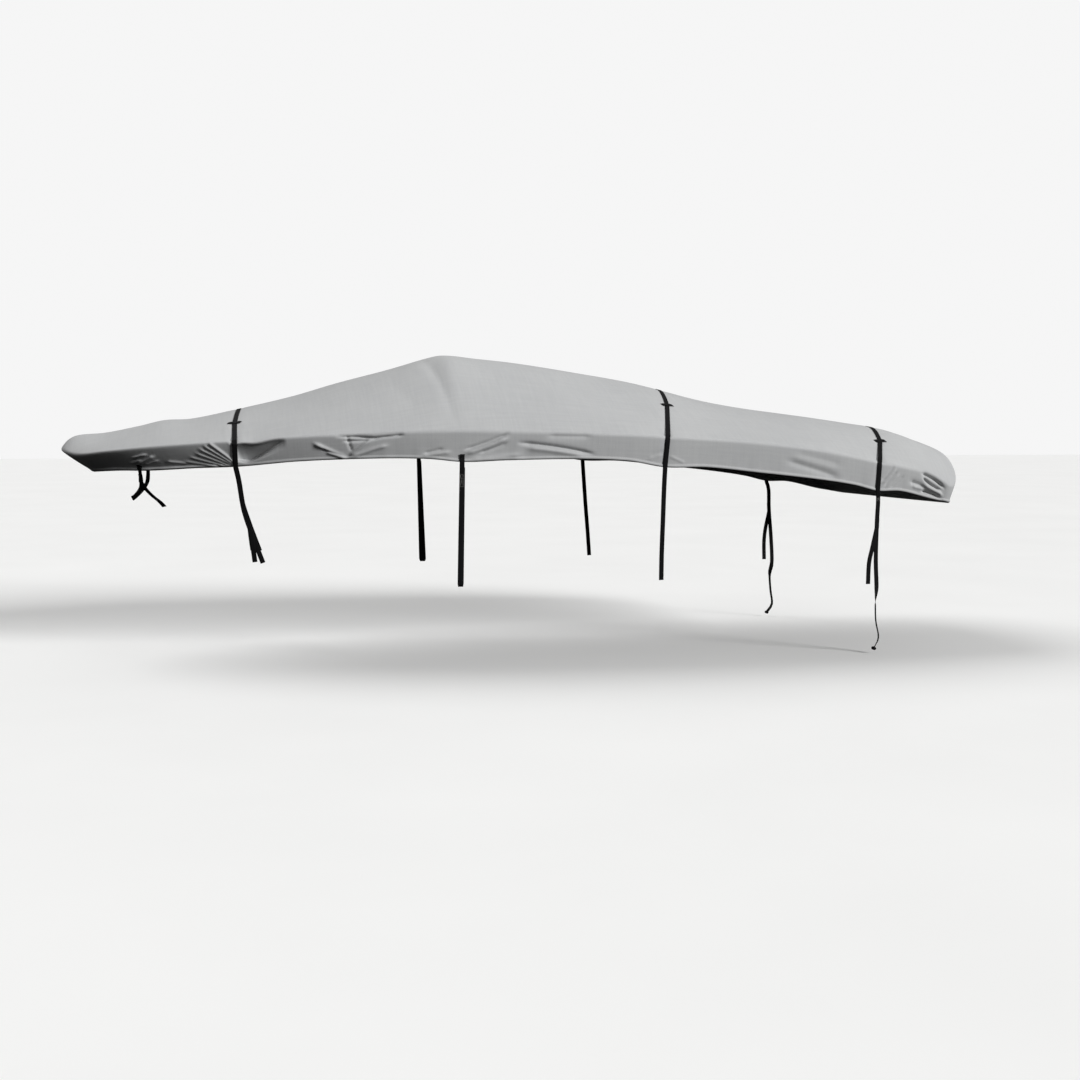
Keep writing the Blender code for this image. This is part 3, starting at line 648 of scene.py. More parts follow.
def sheet_ribs():
    """All ribs in order round the outline, and the distance of each along it."""
    near = outline_points(NEAR, "near")
    far = outline_points(FAR, "far")
    points = near + far[-2:0:-1]
    lengths = [0.0]
    for before, point in zip(points, points[1:]):
        lengths.append(lengths[-1] + math.dist(before, point))
    ribs = [rib(points, i, lengths[i]) for i in range(len(points))]
    return points, lengths, ribs, len(near) - 1


outline, outline_lengths, ribs, stern_index = sheet_ribs()
rows = len(ribs[0])
print(len(ribs), "ribs of", rows, "rows,", round(4 * len(ribs) * rows / 1000), "thousand triangles")

# %% [markdown]
# ## Joining the ribs
# The faces between two ribs are quads. By the centre line, the ribs of both sides meet one line
# of points. The near side has more ribs than the far side, so there a fan of triangles takes in
# the points between two far ribs. A UV map is written as the faces are made: on the top it is
# the plan in metres, and on the skirt it is the length round the cover and down, so that the
# weave has one size everywhere.


# %% The cloth's mesh
SAME_PLACE = 1e-6


def new_piece(name, data):
    """An object in the scene, made from mesh data that is already in place."""
    piece = bpy.data.objects.new(name, data)
    bpy.context.scene.collection.objects.link(piece)
    return piece


def apply_modifiers(piece):
    """Applies all of a piece's modifiers, in order."""
    bpy.context.view_layer.objects.active = piece
    piece.select_set(True)
    for modifier in list(piece.modifiers):
        bpy.ops.object.modifier_apply(modifier=modifier.name)
    piece.select_set(False)


def build_spine(mesh):
    """Vertices along the centre line, and for each rib the number of the one it starts from."""
    spine, starts = [], []
    for i, (x, y) in enumerate(outline):
        foot_x = min(max(x, SPINE_FORE_X), SPINE_AFT_X)
        if i > stern_index:
            starts.append(min(range(len(spine)), key=lambda n: abs(spine[n].co.x - foot_x)))
            continue
        if not spine or foot_x > spine[-1].co.x + SAME_PLACE:
            height = top_height(foot_x, 0.0) + top_relief(foot_x, 0.0) - strap_press(foot_x, 0.0)
            spine.append(mesh.verts.new((foot_x, 0.0, height)))
        starts.append(len(spine) - 1)
    return spine, starts


def build_sheet():
    """The cover's cloth as one closed sheet."""
    mesh = bmesh.new()
    uv = mesh.loops.layers.uv.new("cut")
    spine, starts = build_spine(mesh)
    grid = [[mesh.verts.new(place) for place in places] for places in ribs]
    way_round = outline_lengths + [outline_lengths[-1] + math.dist(outline[-1], outline[0])]

    def in_plan(corners):
        """UV places of corners of the top."""
        return [(vertex.co.x, vertex.co.y) for vertex in corners]

    def down_skirt(corners, turns):
        """UV places of corners of the skirt, each on the rib with the number given for it."""
        folds = [top_height(*outline[turn % len(outline)]) for turn in turns]
        return [(way_round[turn], fold - vertex.co.z) for vertex, turn, fold in zip(corners, turns, folds)]

    def face(corners, places):
        made = mesh.faces.new(corners)
        made.smooth = True
        for loop, place in zip(made.loops, places):
            loop[uv].uv = place

    for i, first in enumerate(grid):
        j = (i + 1) % len(grid)
        second = grid[j]
        step = 1 if starts[j] >= starts[i] else -1
        line = [spine[n] for n in range(starts[i], starts[j] + step, step)]
        for before, after in zip(line, line[1:-1]):
            corners = (before, first[0], after)
            face(corners, in_plan(corners))
        corners = (*line[-2:-1], first[0], second[0], line[-1])
        face(corners, in_plan(corners))
        for k in range(rows - 1):
            corners = (first[k], first[k + 1], second[k + 1], second[k])
            if k < TOP_ROW_COUNT:
                face(corners, in_plan(corners))
            else:
                face(corners, down_skirt(corners, (i, i, i + 1, i + 1)))

    bmesh.ops.recalc_face_normals(mesh, faces=mesh.faces)
    data = bpy.data.meshes.new("cover_canvas")
    mesh.to_mesh(data)
    mesh.free()
    sheet = new_piece("cover_canvas", data)
    thick = sheet.modifiers.new("Thickness", "SOLIDIFY")
    thick.thickness = CLOTH_THICKNESS
    thick.offset = 1.0
    thick.use_even_offset = False
    apply_modifiers(sheet)
    return sheet


cover_canvas = build_sheet()
print("cover:", len(cover_canvas.data.polygons), "faces")

# %% [markdown]
# ## Straps as woven webbing
# A strap is polypropylene webbing, 36 mm wide. It is made as a lofted strip: a flat section with
# rounded edges at every step of a route. The routes are laid on the finished cloth by casting
# rays at it, and then pulled taut, so that a strap bridges the small hollows as it does when
# its buckle is tightened. Below the hem they run free to where the trailer would hold them.

# %% Helpers for routes
ACROSS = (-0.47, -0.24, 0.0, 0.24, 0.47)
EDGE_BULGE = 0.5            # the strip's edges end in a point half way down
FREE_STEP = 0.030           # distance between sections where a strap hangs free
PROBES = (-0.5, -0.25, 0.0, 0.25, 0.5)
PROBE_REACH = 0.30

cloth_surface = BVHTree.FromObject(cover_canvas, bpy.context.evaluated_depsgraph_get())


def lift_over(place, out, across, width=WEB_WIDTH):
    """Height of the cloth's surface over a place, along out, under a strap's whole width."""
    heights = []
    for share in PROBES:
        probe = place + across * share * width
        hit = cloth_surface.ray_cast(probe + out * PROBE_REACH, -out, 2 * PROBE_REACH)[0]
        if hit is not None:
            heights.append((hit - probe).dot(out))
    return max(heights, default=0.0)


def pulled_taut(heights, rounds=40):
    """Heights along a tight strap: it touches the high places and bridges the low ones."""
    taut = list(heights)
    for _ in range(rounds):
        for i in range(1, len(taut) - 1):
            taut[i] = max(heights[i], 0.5 * (taut[i - 1] + taut[i + 1]))
    return taut


def across_of(out):
    """The fore and aft direction that lies in a surface which faces that way."""
    return (Vector((1, 0, 0)) - out * out.x).normalized()


def top_normal(x, y):
    """Direction square to the stretched top."""
    step = 0.01
    slope_x = (top_height(x + step, y) - top_height(x - step, y)) / (2 * step)
    slope_y = (top_height(x, y + step) - top_height(x, y - step)) / (2 * step)
    return Vector((-slope_x, -slope_y, 1.0)).normalized()


def smooth_route(points, step):
    """Points spaced by about one step along a smooth curve through a route's points."""
    places = [Vector(point) for point in points]
    route = []
    for i in range(len(places) - 1):
        before = places[i - 1] if i else places[i] * 2 - places[i + 1]
        after = places[i + 2] if i + 2 < len(places) else places[i + 1] * 2 - places[i]
        start, end = places[i], places[i + 1]
        count = max(1, round((end - start).length / step))
        for k in range(count):
            t = k / count
            bend = (2 * before - 5 * start + 4 * end - after) * t**2
            twist = (3 * start - before - 3 * end + after) * t**3
            route.append(0.5 * (2 * start + (end - before) * t + bend + twist))
    route.append(places[-1])
    return route


def mirrored(points, side):
    """Points given for the near side, on the side asked for."""
    return [Vector((x, y * -side, z)) for x, y, z in points]


def route_length(route):
    """Length of a route in metres."""
    return sum((b - a).length for a, b in zip(route, route[1:]))


def side_name(side):
    """The word for a side in a piece's name."""
    return "near" if side == NEAR else "far"


ridge_height = lift_over(Vector((0.0, 0.0, 0.0)), Vector((0.0, 0.0, 1.0)), Vector((1.0, 0.0, 0.0)))
print("the ridge of the cloth is at", round(ridge_height, 4), "m")

# %% [markdown]
# ## The strip itself
# The section has ten corners: five on the outer face, five on the inner face, and a point at
# either edge, so the edges look rounded. The UV map runs across and along the strip in metres,
# which the weave of the webbing needs.


# %% Webbing strips
def webbing(name, centres, outs, width=WEB_WIDTH, thickness=WEB_THICKNESS):
    """A woven strip with rounded edges along a route, its outer face looking along outs."""
    mesh = bmesh.new()
    uv = mesh.loops.layers.uv.new("cut")
    section = [(share, 0.5) for share in ACROSS] + [(EDGE_BULGE, 0.0)]
    section += [(share, -0.5) for share in reversed(ACROSS)] + [(-EDGE_BULGE, 0.0)]
    rings = []
    along_route = [0.0]
    for i, (centre, out) in enumerate(zip(centres, outs)):
        along = centres[min(i + 1, len(centres) - 1)] - centres[max(i - 1, 0)]
        across = along.cross(out).normalized()
        up = across.cross(along).normalized()
        rings.append([mesh.verts.new(centre + across * a * width + up * b * thickness) for a, b in section])
        if i:
            along_route.append(along_route[-1] + (centre - centres[i - 1]).length)
    for i, (first, second) in enumerate(zip(rings, rings[1:])):
        for k in range(len(section)):
            after = (k + 1) % len(section)
            made = mesh.faces.new((first[k], first[after], second[after], second[k]))
            made.smooth = True
            places = ((k, i), (after, i), (after, i + 1), (k, i + 1))
            for loop, (corner, ring) in zip(made.loops, places):
                loop[uv].uv = (section[corner][0] * width, along_route[ring])
    for ring in (rings[0], rings[-1]):
        made = mesh.faces.new(ring)
        for loop, (a, b) in zip(made.loops, section):
            loop[uv].uv = (a * width, b * thickness)
    bmesh.ops.recalc_face_normals(mesh, faces=mesh.faces)
    data = bpy.data.meshes.new(name)
    mesh.to_mesh(data)
    mesh.free()
    data.set_sharp_from_angle(angle=math.radians(50))
    return new_piece(name, data)


print("a section of webbing has", 2 * len(ACROSS) + 2, "corners")

# %% [markdown]
# ## The three crossing straps
# On the top the strap lies square to the surface. Over the gunwale its direction turns from up
# to sideways in small steps, and from there it falls over the skirt and past the hem.

# %% Crossing straps
TOP_STEPS = 46
TOP_STEP_CROWDING = 1.15    # more than 1 crowds the steps towards the gunwale
LAST_TOP_SHARE = 0.985      # of the half beam
LEAN_FROM = 0.9             # from this share on the strap's face begins to lean outwards,
LEAN_TO = 4.0               # half way to a direction that rises this much for one of run
GUNWALE_RISES = (4.0, 2.2, 1.3, 0.8, 0.45, 0.2)
GUNWALE_INSET = 0.004
SKIRT_STEPS = 14
SKIRT_FROM = 0.10           # shares of the skirt's height: the last is just below the hem
SKIRT_TO = 1.03
LEGS = {
    "fore": [
        (-1.560, -0.790, -0.950), (-1.528, -0.700, -1.157),
        (-1.471, -0.610, -1.345), (-1.395, -0.530, -1.559),
    ],
    "mid": [
        (1.479, -1.190, -1.020), (1.485, -1.150, -1.243),
        (1.493, -1.100, -1.491), (1.500, -1.070, -1.696),
    ],
    "aft": [
        (3.214, -1.115, -1.130), (3.214, -1.100, -1.308),
        (3.226, -1.070, -1.581), (3.236, -1.070, -1.790),
        (3.222, -1.085, -1.900), (3.230, -1.080, -2.050),
        (3.250, -1.090, -2.180), (3.205, -1.105, -2.260),
    ],
}
TAIL_TURNS_AT = -1.80       # below this the aft strap's tail shows its edge
TAIL_TURNED_AT = -1.93
TAIL_TURN = math.radians(80)
FORE_AND_AFT = Vector((1, 0, 0))


def half_crossing(crossing, side):
    """Centres and outer directions of one half of a strap, from the ridge to below the hem."""
    places, outs, acrosses = [], [], []
    for k in range(TOP_STEPS + 1):
        share = LAST_TOP_SHARE * (1 - (1 - k / TOP_STEPS) ** TOP_STEP_CROWDING)
        x = crossing_x(crossing, share)
        y = side * share * half_beam(x)
        lean = clamp((share - LEAN_FROM) / (1 - LEAN_FROM))
        out = top_normal(x, y).lerp(Vector((0, side, LEAN_TO)).normalized(), 0.5 * lean).normalized()
        places.append(Vector((x, y, top_height(x, y))))
        outs.append(out)
        acrosses.append(across_of(out))

    rail_x, hem_x = crossing.rail_x, crossing.hem_x
    rail_y = half_beam(rail_x)
    rail_z = smooth_column(SECTIONS, "rail_z", rail_x) - gunwale_dip(rail_x, side)
    hem_z = smooth_column(SECTIONS, "hem_z", hem_x)
    tuck = smooth_column(SECTIONS, "tuck", hem_x)
    for rise in GUNWALE_RISES:
        outs.append(Vector((0, side, rise)).normalized())
        places.append(Vector((rail_x, side * (rail_y - GUNWALE_INSET), rail_z - GUNWALE_INSET)))
        acrosses.append(FORE_AND_AFT)
    for k in range(SKIRT_STEPS + 1):
        share = SKIRT_FROM + (SKIRT_TO - SKIRT_FROM) * k / SKIRT_STEPS
        y = side * (rail_y - tuck * share)
        places.append(Vector((rail_x, y, rail_z)).lerp(Vector((hem_x, y, hem_z)), share))
        outs.append(Vector((0, side, 0)))
        acrosses.append(FORE_AND_AFT)
    heights = [lift_over(place, out, across) for place, out, across in zip(places, outs, acrosses)]
    heights[-1] = heights[-2]       # the last place is below the hem, where no cloth is met
    heights = pulled_taut(heights)
    centres = [place + out * (height + WEB_LIFT) for place, out, height in zip(places, outs, heights)]
    return centres, outs


def crossing_strap(crossing):
    """A strap from below one hem, over the top, to below the other. Returns it and its halves."""
    halves = []
    for side in SIDES:
        centres, outs = half_crossing(crossing, side)
        tail = smooth_route([centres[-1]] + mirrored(LEGS[crossing.name], side), FREE_STEP)[1:]
        for place in tail:
            angle = TAIL_TURN * clamp((TAIL_TURNS_AT - place.z) / (TAIL_TURNS_AT - TAIL_TURNED_AT))
            outs.append(Vector((math.sin(angle), side * math.cos(angle), 0.0)))
        halves.append((centres + tail, outs))
    near, far = halves
    centres = near[0][:0:-1] + far[0]
    outs = near[1][:0:-1] + far[1]
    piece = webbing(f"{crossing.name}_tie_strap", centres, outs)
    return piece, centres, near, far


straps = []
Strap = namedtuple("Strap", "piece path node lay")
crossing_halves = {}
for crossing in CROSSINGS:
    piece, path, near, far = crossing_strap(crossing)
    straps.append(Strap(piece, path, f"{crossing.name}_strap", "taut"))
    crossing_halves[crossing.name, NEAR] = near
    crossing_halves[crossing.name, FAR] = far
    print(piece.name, "is", round(route_length(path), 2), "m long")

# %% [markdown]
# ## Second ends, side straps and the bow strap
# Below the gunwale the fore and aft straps fork: a second length is sewn on and runs to its own
# anchor. The side straps are sewn to the hem and doubled round a bar. At the bow one strap goes
# from hem to hem under the stem, with a loose end.

# %% Shorter straps
LAP_GAP = 0.0030
SECOND_END_LAPS = (-1.255, -1.290, -1.325)
SECOND_ENDS = {
    "fore": [(-1.466, -0.590, -1.444), (-1.453, -0.535, -1.551)],
    "aft": [(3.182, -1.100, -1.478), (3.163, -1.085, -1.600), (3.162, -1.075, -1.765)],
}
SIDE_STRAP_X = -0.012
SIDE_STRAP_SEWN = (0.054, 0.044, 0.034, 0.024, 0.014, 0.008)    # heights above the hem
SIDE_STRAP_FALL = [(1.150, -0.937), (1.100, -1.298), (1.050, -1.690)]
BAR_RADIUS = 0.024
BAR_STEP = 15               # degrees
RETURN_SHIFT = 0.017        # how far aft the strap comes out of its turn round the bar
RETURN_AFT = 0.004          # the top of the returning length lies this far aft of the sewn end,
RETURN_INSIDE = 0.006       # this far inside it
RETURN_BELOW = 0.040        # and this far below the hem
BOW_STRAP_X = -2.250
BOW_STRAP_SEWN = (0.040, 0.028, 0.016, 0.006)                   # heights above the hem
BOW_STRAP_STEP = 0.020
BOW_STRAP_FALL = [
    (-2.252, -0.455, -0.930), (-2.258, -0.395, -0.990), (-2.285, -0.250, -1.040), (-2.328, -0.080, -1.086),
]
BOW_STRAP_STEM = (-2.348, 0.0, -1.098)
STEM_FACE = (-1.0, 0.0, -0.45)                                  # the way the stem faces
STEM_REACH = 0.25           # half the width over which the strap turns to face that way
BOW_TAIL_FACE = (-0.42, -0.90, -0.05)
BOW_TAIL_GAP = 1.5 * LAP_GAP
BOW_TAIL_LAP = (-0.905, -0.930, -0.955)
BOW_TAIL = [
    (-2.232, -0.426, -1.000), (-2.185, -0.330, -1.062), (-2.135, -0.230, -1.114), (-2.104, -0.185, -1.154),
]


def at_height(route, z):
    """Where a strap that runs down passes a height."""
    for upper, lower in zip(route, route[1:]):
        if upper.z >= z >= lower.z:
            return upper.lerp(lower, (upper.z - z) / (upper.z - lower.z))
    raise ValueError(f"the strap doesn't pass {z}")


def second_end(name, side):
    """The other end of a strap, sewn on where the strap forks."""
    level = Vector((0, side, 0.0))
    strap = crossing_halves[name, side][0]
    lap = [at_height(strap, z) + level * LAP_GAP for z in SECOND_END_LAPS]
    centres = smooth_route(lap + mirrored(SECOND_ENDS[name], side), FREE_STEP)
    piece = webbing(f"{name}_tie_end_{side_name(side)}", centres, [level] * len(centres))
    return Strap(piece, centres, f"{name}_strap_end_{side_name(side)}", "hanging")


def side_strap(side):
    """A strap sewn to the hem amidships, doubled below round a bar that isn't part of this."""
    x = SIDE_STRAP_X
    hem_z = smooth_column(SECTIONS, "hem_z", x)
    hem_y = half_beam(x) - smooth_column(SECTIONS, "tuck", x)
    level = Vector((0, side, 0.0))
    centres = []
    for rise in SIDE_STRAP_SEWN:
        place = Vector((x, side * hem_y, hem_z + rise))
        centres.append(place + level * (lift_over(place, level, FORE_AND_AFT) + WEB_LIFT))
    sewn_end = centres[-1]
    front = [(x, side * y, z) for y, z in SIDE_STRAP_FALL]
    centres += smooth_route([sewn_end] + front, FREE_STEP)[1:]
    outs = [level] * len(centres)
    axle = centres[-1] - level * BAR_RADIUS
    for degrees in range(BAR_STEP, 181, BAR_STEP):
        angle = math.radians(degrees)
        turned = Vector((0, side * math.cos(angle), -math.sin(angle)))
        centres.append(axle + turned * BAR_RADIUS + FORE_AND_AFT * RETURN_SHIFT * degrees / 180)
        outs.append(turned)
    low = centres[-1]
    top = Vector((x + RETURN_AFT, sewn_end.y - side * RETURN_INSIDE, hem_z - RETURN_BELOW))
    steps = round((top - low).length / FREE_STEP)
    for i in range(1, steps + 1):
        centres.append(low.lerp(top, i / steps))
        outs.append(-level)
    piece = webbing(f"side_tie_{side_name(side)}", centres, outs)
    return Strap(piece, centres, f"side_strap_{side_name(side)}", "taut")


def bow_strap():
    """One strap from hem to hem under the bow, flat against the flare and round the stem."""
    step = 0.01
    slope = (half_beam(BOW_STRAP_X + step) - half_beam(BOW_STRAP_X - step)) / (2 * step)
    hem_z = smooth_column(SECTIONS, "hem_z", BOW_STRAP_X)
    hem_y = half_beam(BOW_STRAP_X) - smooth_column(SECTIONS, "tuck", BOW_STRAP_X)
    halves = []
    for side in SIDES:
        flare = Vector((-slope, side, 0.0)).normalized()
        across = Vector((flare.y, -flare.x, 0.0))
        start = []
        for rise in BOW_STRAP_SEWN:
            place = Vector((BOW_STRAP_X, side * hem_y, hem_z + rise))
            start.append(place + flare * (lift_over(place, flare, across) + WEB_LIFT))
        fall = mirrored(BOW_STRAP_FALL + [BOW_STRAP_STEM], side)
        route = smooth_route(start + fall, BOW_STRAP_STEP)
        outs = []
        for place in route:
            turn = clamp(abs(place.y) / STEM_REACH)
            outs.append(Vector(STEM_FACE).lerp(flare, turn).normalized())
        halves.append((route, outs))
    near, far = halves
    path = near[0] + far[0][-2::-1]
    piece = webbing("bow_tie_strap", path, near[1] + far[1][-2::-1])
    return Strap(piece, path, "bow_strap", "taut"), near[0]


def bow_tail(strap):
    """The bow strap's loose end, which runs aft and down from where it is sewn on."""
    out = Vector(BOW_TAIL_FACE).normalized()
    lap = [at_height(strap, z) + out * BOW_TAIL_GAP for z in BOW_TAIL_LAP]
    centres = smooth_route(lap + mirrored(BOW_TAIL, NEAR), FREE_STEP)
    piece = webbing("bow_tie_tail", centres, [out] * len(centres))
    return Strap(piece, centres, "bow_strap_tail", "hanging")


second_ends = [(side, second_end(name, side)) for name in SECOND_ENDS for side in SIDES]
side_straps = [(side, side_strap(side)) for side in SIDES]
straps += [strap for side, strap in second_ends + side_straps]
bow, bow_near = bow_strap()
straps.append(bow)
straps.append(bow_tail(bow_near))
for strap in straps:
    print(strap.piece.name, round(route_length(strap.path), 2), "m")

# %% [markdown]
# ## Loops sewn over the straps
# Each loop is a short length of tape, a little wider than the webbing. It is sewn flat at both
# ends and arches closely over its strap. The strap bends and turns under it, so their faces
# rub together there.

# %% Loops
LOOP_WIDTH = 0.042
LOOP_THICKNESS = 0.0030
LOOP_FLAT_GAP = 0.0006      # under the tape where it is sewn flat
LOOP_ARCH_GAP = 0.0008      # and where it arches over the strap
# Along the tape from its middle: the run in metres, and the rise as a share of the arch.
LoopStep = namedtuple("LoopStep", "run rise")
LOOP_STEPS = [
    LoopStep(-0.0500, 0.0), LoopStep(-0.0465, 0.0), LoopStep(-0.0430, 0.0), LoopStep(-0.0400, 0.15),
    LoopStep(-0.0370, 0.50), LoopStep(-0.0335, 0.90), LoopStep(-0.0295, 1.0), LoopStep(0.0, 1.0),
    LoopStep(0.0295, 1.0), LoopStep(0.0335, 0.90), LoopStep(0.0370, 0.50), LoopStep(0.0400, 0.15),
    LoopStep(0.0430, 0.0), LoopStep(0.0465, 0.0), LoopStep(0.0500, 0.0),
]


def strap_loop(crossing, side):
    """A tape sewn flat at both ends, which holds the strap that passes under it."""
    x = crossing_x(crossing, crossing.loop_at)
    y = side * crossing.loop_at * half_beam(x)
    out = top_normal(x, y)
    turn = math.radians(crossing.loop_turn) * -side
    along = Vector((math.cos(turn), math.sin(turn), 0.0))
    along = (along - out * along.dot(out)).normalized()
    across = out.cross(along).normalized()
    flat = LOOP_THICKNESS / 2 + LOOP_FLAT_GAP
    arch = WEB_LIFT + WEB_THICKNESS / 2 + LOOP_THICKNESS / 2 + LOOP_ARCH_GAP
    centre = Vector((x, y, top_height(x, y)))
    centres = []
    for step in LOOP_STEPS:
        place = centre + along * step.run
        lift = lift_over(place, out, across, LOOP_WIDTH)
        centres.append(place + out * (lift + flat + (arch - flat) * step.rise))
    name = f"{crossing.name}_strap_loop_{side_name(side)}"
    return webbing(name, centres, [out] * len(centres), LOOP_WIDTH, LOOP_THICKNESS), centres, out


loops = []
Loop = namedtuple("Loop", "piece node centres out")
for crossing in CROSSINGS:
    for side in SIDES:
        piece, centres, out = strap_loop(crossing, side)
        loops.append(Loop(piece, f"{crossing.name}_loop_{side_name(side)}", centres, out))
print(len(loops), "loops")

# %% [markdown]
# ## The rolled end of the tail
# The aft strap's tail ends in a few turns rolled up tight and sewn, so that it can't slip out of
# its buckle. A short cylinder across the strap, with its rims beveled, makes the roll.

# %% Rolled tail ends
ROLL_RADIUS = 0.013
ROLL_LENGTH = 0.037
ROLL_BEVEL = 0.003


def tail_roll(side):
    """The rolled end of the aft strap's tail on one side."""
    end = mirrored(LEGS["aft"][-1:], side)[0]
    bpy.ops.mesh.primitive_cylinder_add(
        vertices=24, radius=ROLL_RADIUS, depth=ROLL_LENGTH, location=end, rotation=(math.radians(90), 0, 0))
    roll = bpy.context.object
    roll.name = f"aft_tail_roll_{side_name(side)}"
    bpy.ops.object.transform_apply(location=True, rotation=True, scale=True)
    bevel = roll.modifiers.new("Rims", "BEVEL")
    bevel.width = ROLL_BEVEL
    bevel.segments = 3
    bevel.limit_method = "ANGLE"
    apply_modifiers(roll)
    roll.select_set(True)
    bpy.ops.object.shade_smooth_by_angle(angle=math.radians(40))
    roll.select_set(False)
    return roll


tail_rolls = [tail_roll(side) for side in (-1.0, 1.0)]
print(len(tail_rolls), "rolled ends")

# %% [markdown]
# ## Stitches
# One stitch is a small spindle of thread. It is modelled once, from a sphere with few faces, and
# its mesh is copied to every place along a seam. The copies are joined into one mesh a seam,
# because a thousand objects would be slow to handle. Real stitches are 3 mm long. These are
# twice that, so that they show.

# %% One stitch and a way to sew
STITCH_LENGTH = 0.0060
STITCH_WIDTH = 0.0013
STITCH_PITCH = 0.0085
THREAD_LIFT = 0.0002        # from a surface to the middle of the thread
HEM_THREAD_LIFT = 0.0003

bpy.ops.mesh.primitive_uv_sphere_add(segments=6, ring_count=4, radius=0.5)
stitch_model = bpy.context.object
bpy.ops.object.transform_apply(location=True, rotation=True, scale=True)
stitch_points = [vertex.co.copy() for vertex in stitch_model.data.vertices]
stitch_faces = [tuple(face.vertices) for face in stitch_model.data.polygons]
bpy.data.objects.remove(stitch_model, do_unlink=True)

Stitch = namedtuple("Stitch", "centre along out")


def sew(name, stitches):
    """One mesh with a stitch at each place."""
    points, faces = [], []
    for stitch in stitches:
        along = stitch.along.normalized()
        across = stitch.out.cross(along).normalized()
        out = along.cross(across)
        first = len(points)
        for p in stitch_points:
            reach = along * p.x * STITCH_LENGTH + across * p.y * STITCH_WIDTH + out * p.z * STITCH_WIDTH
            points.append(stitch.centre + reach)
        faces += [tuple(first + n for n in face) for face in stitch_faces]
    data = bpy.data.meshes.new(name)
    data.from_pydata(points, [], faces)
    data.shade_smooth()
    return new_piece(name, data)


def seam(start, end, out):
    """Stitches in a straight line from start to end."""
    run = end - start
    count = max(1, round(run.length / STITCH_PITCH))
    return [Stitch(start + run * (i + 0.5) / count, run, out) for i in range(count)]


print("one stitch has", len(stitch_faces), "faces")

# %% [markdown]
# ## Seams
# The hem is turned and sewn all round, just above its roll. The straps are sewn with boxes and
# bars: pale thread where the side straps are doubled, black thread elsewhere.

# %% Hem seam
hem_row = rows - len(HEM_STEPS)
hem_stitches = []
since = 0.0
for i in range(len(ribs)):
    j = (i + 1) % len(ribs)
    start, end = ribs[i][hem_row], ribs[j][hem_row]
    below = ribs[i][hem_row + 1]
    out = (end - start).cross(below - start).normalized()
    if out.dot(outward(outline, i)) < 0:
        out = -out
    since += (end - start).length
    if since >= STITCH_PITCH:
        centre = start.lerp(end, 0.5) + out * (CLOTH_THICKNESS + HEM_THREAD_LIFT)
        hem_stitches.append(Stitch(centre, end - start, out))
        since = 0.0
hem_seam = sew("hem_stitching", hem_stitches)
print(len(hem_stitches), "stitches in the hem")

# %% Seams of the straps
BOX_INSET = 0.006           # from the strap's edge to a box
Box = namedtuple("Box", "top low")
FORK_BOX = Box(-1.262, -1.318)
SIDE_BOX = Box(-0.900, -0.985)
AFT_BOX = Box(-1.100, -1.120)
HEM_BOX = Box(0.048, 0.014)     # these two are heights above the hem
LOOP_SEAM_INSET = 0.003
LOOP_SEAMS = ((0, 1, 0.6), (1, 2, 0.5), (-1, -2, 0.6), (-2, -3, 0.5))   # from, to, share between


def strap_box(path, side_out, top_z, low_z):
    """A sewn box with a cross in it, on the outer face of a strap that runs down."""
    top, low = at_height(path, top_z), at_height(path, low_z)
    run = (low - top).normalized()
    across = run.cross(side_out).normalized()
    out = across.cross(run)
    lift = out * (WEB_THICKNESS / 2 + THREAD_LIFT)
    half = across * (WEB_WIDTH / 2 - BOX_INSET)
    a, b, c, d = top - half + lift, top + half + lift, low + half + lift, low - half + lift
    lines = ((a, b), (b, c), (c, d), (d, a), (a, c), (b, d))
    return [stitch for start, end in lines for stitch in seam(start, end, out)]


pale_stitches = []
dark_stitches = []
side_hem_z = smooth_column(SECTIONS, "hem_z", SIDE_STRAP_X)
for side, strap in second_ends:
    dark_stitches += strap_box(strap.path, Vector((0, side, 0)), FORK_BOX.top, FORK_BOX.low)
for side, strap in side_straps:
    out = Vector((0, side, 0))
    pale_stitches += strap_box(strap.path, out, SIDE_BOX.top, SIDE_BOX.low)
    dark_stitches += strap_box(strap.path, out, side_hem_z + HEM_BOX.top, side_hem_z + HEM_BOX.low)
for side in SIDES:
    aft_path = crossing_halves["aft", side][0]
    pale_stitches += strap_box(aft_path, Vector((0, side, 0)), AFT_BOX.top, AFT_BOX.low)
for loop in loops:
    across = loop.out.cross(loop.centres[-1] - loop.centres[0]).normalized()
    half = across * (LOOP_WIDTH / 2 - LOOP_SEAM_INSET)
    lift = loop.out * (LOOP_THICKNESS / 2 + THREAD_LIFT)
    for start, end, share in LOOP_SEAMS:
        place = loop.centres[start].lerp(loop.centres[end], share)
        dark_stitches += seam(place - half + lift, place + half + lift, loop.out)
pale_seams = sew("pale_strap_stitching", pale_stitches)
dark_seams = sew("black_strap_stitching", dark_stitches)
print(len(pale_stitches), "pale and", len(dark_stitches), "black stitches")

# %% [markdown]
# ## Materials
# All finishes are procedural. Colours are given as sRGB hex values, as a dyer's card would, and
# turned to linear by one function. Another adds a node with its settings and links, and four
# short ones add the nodes that most finishes share.

# %% Helpers for materials
CLOTH_IOR = 1.5


def srgb(text):
    """A hex colour as linear RGBA."""
    parts = [int(text[i : i + 2], 16) / 255 for i in (0, 2, 4)]
    linear = [v / 12.92 if v <= 0.04045 else ((v + 0.055) / 1.055) ** 2.4 for v in parts]
    return (*linear, 1.0)


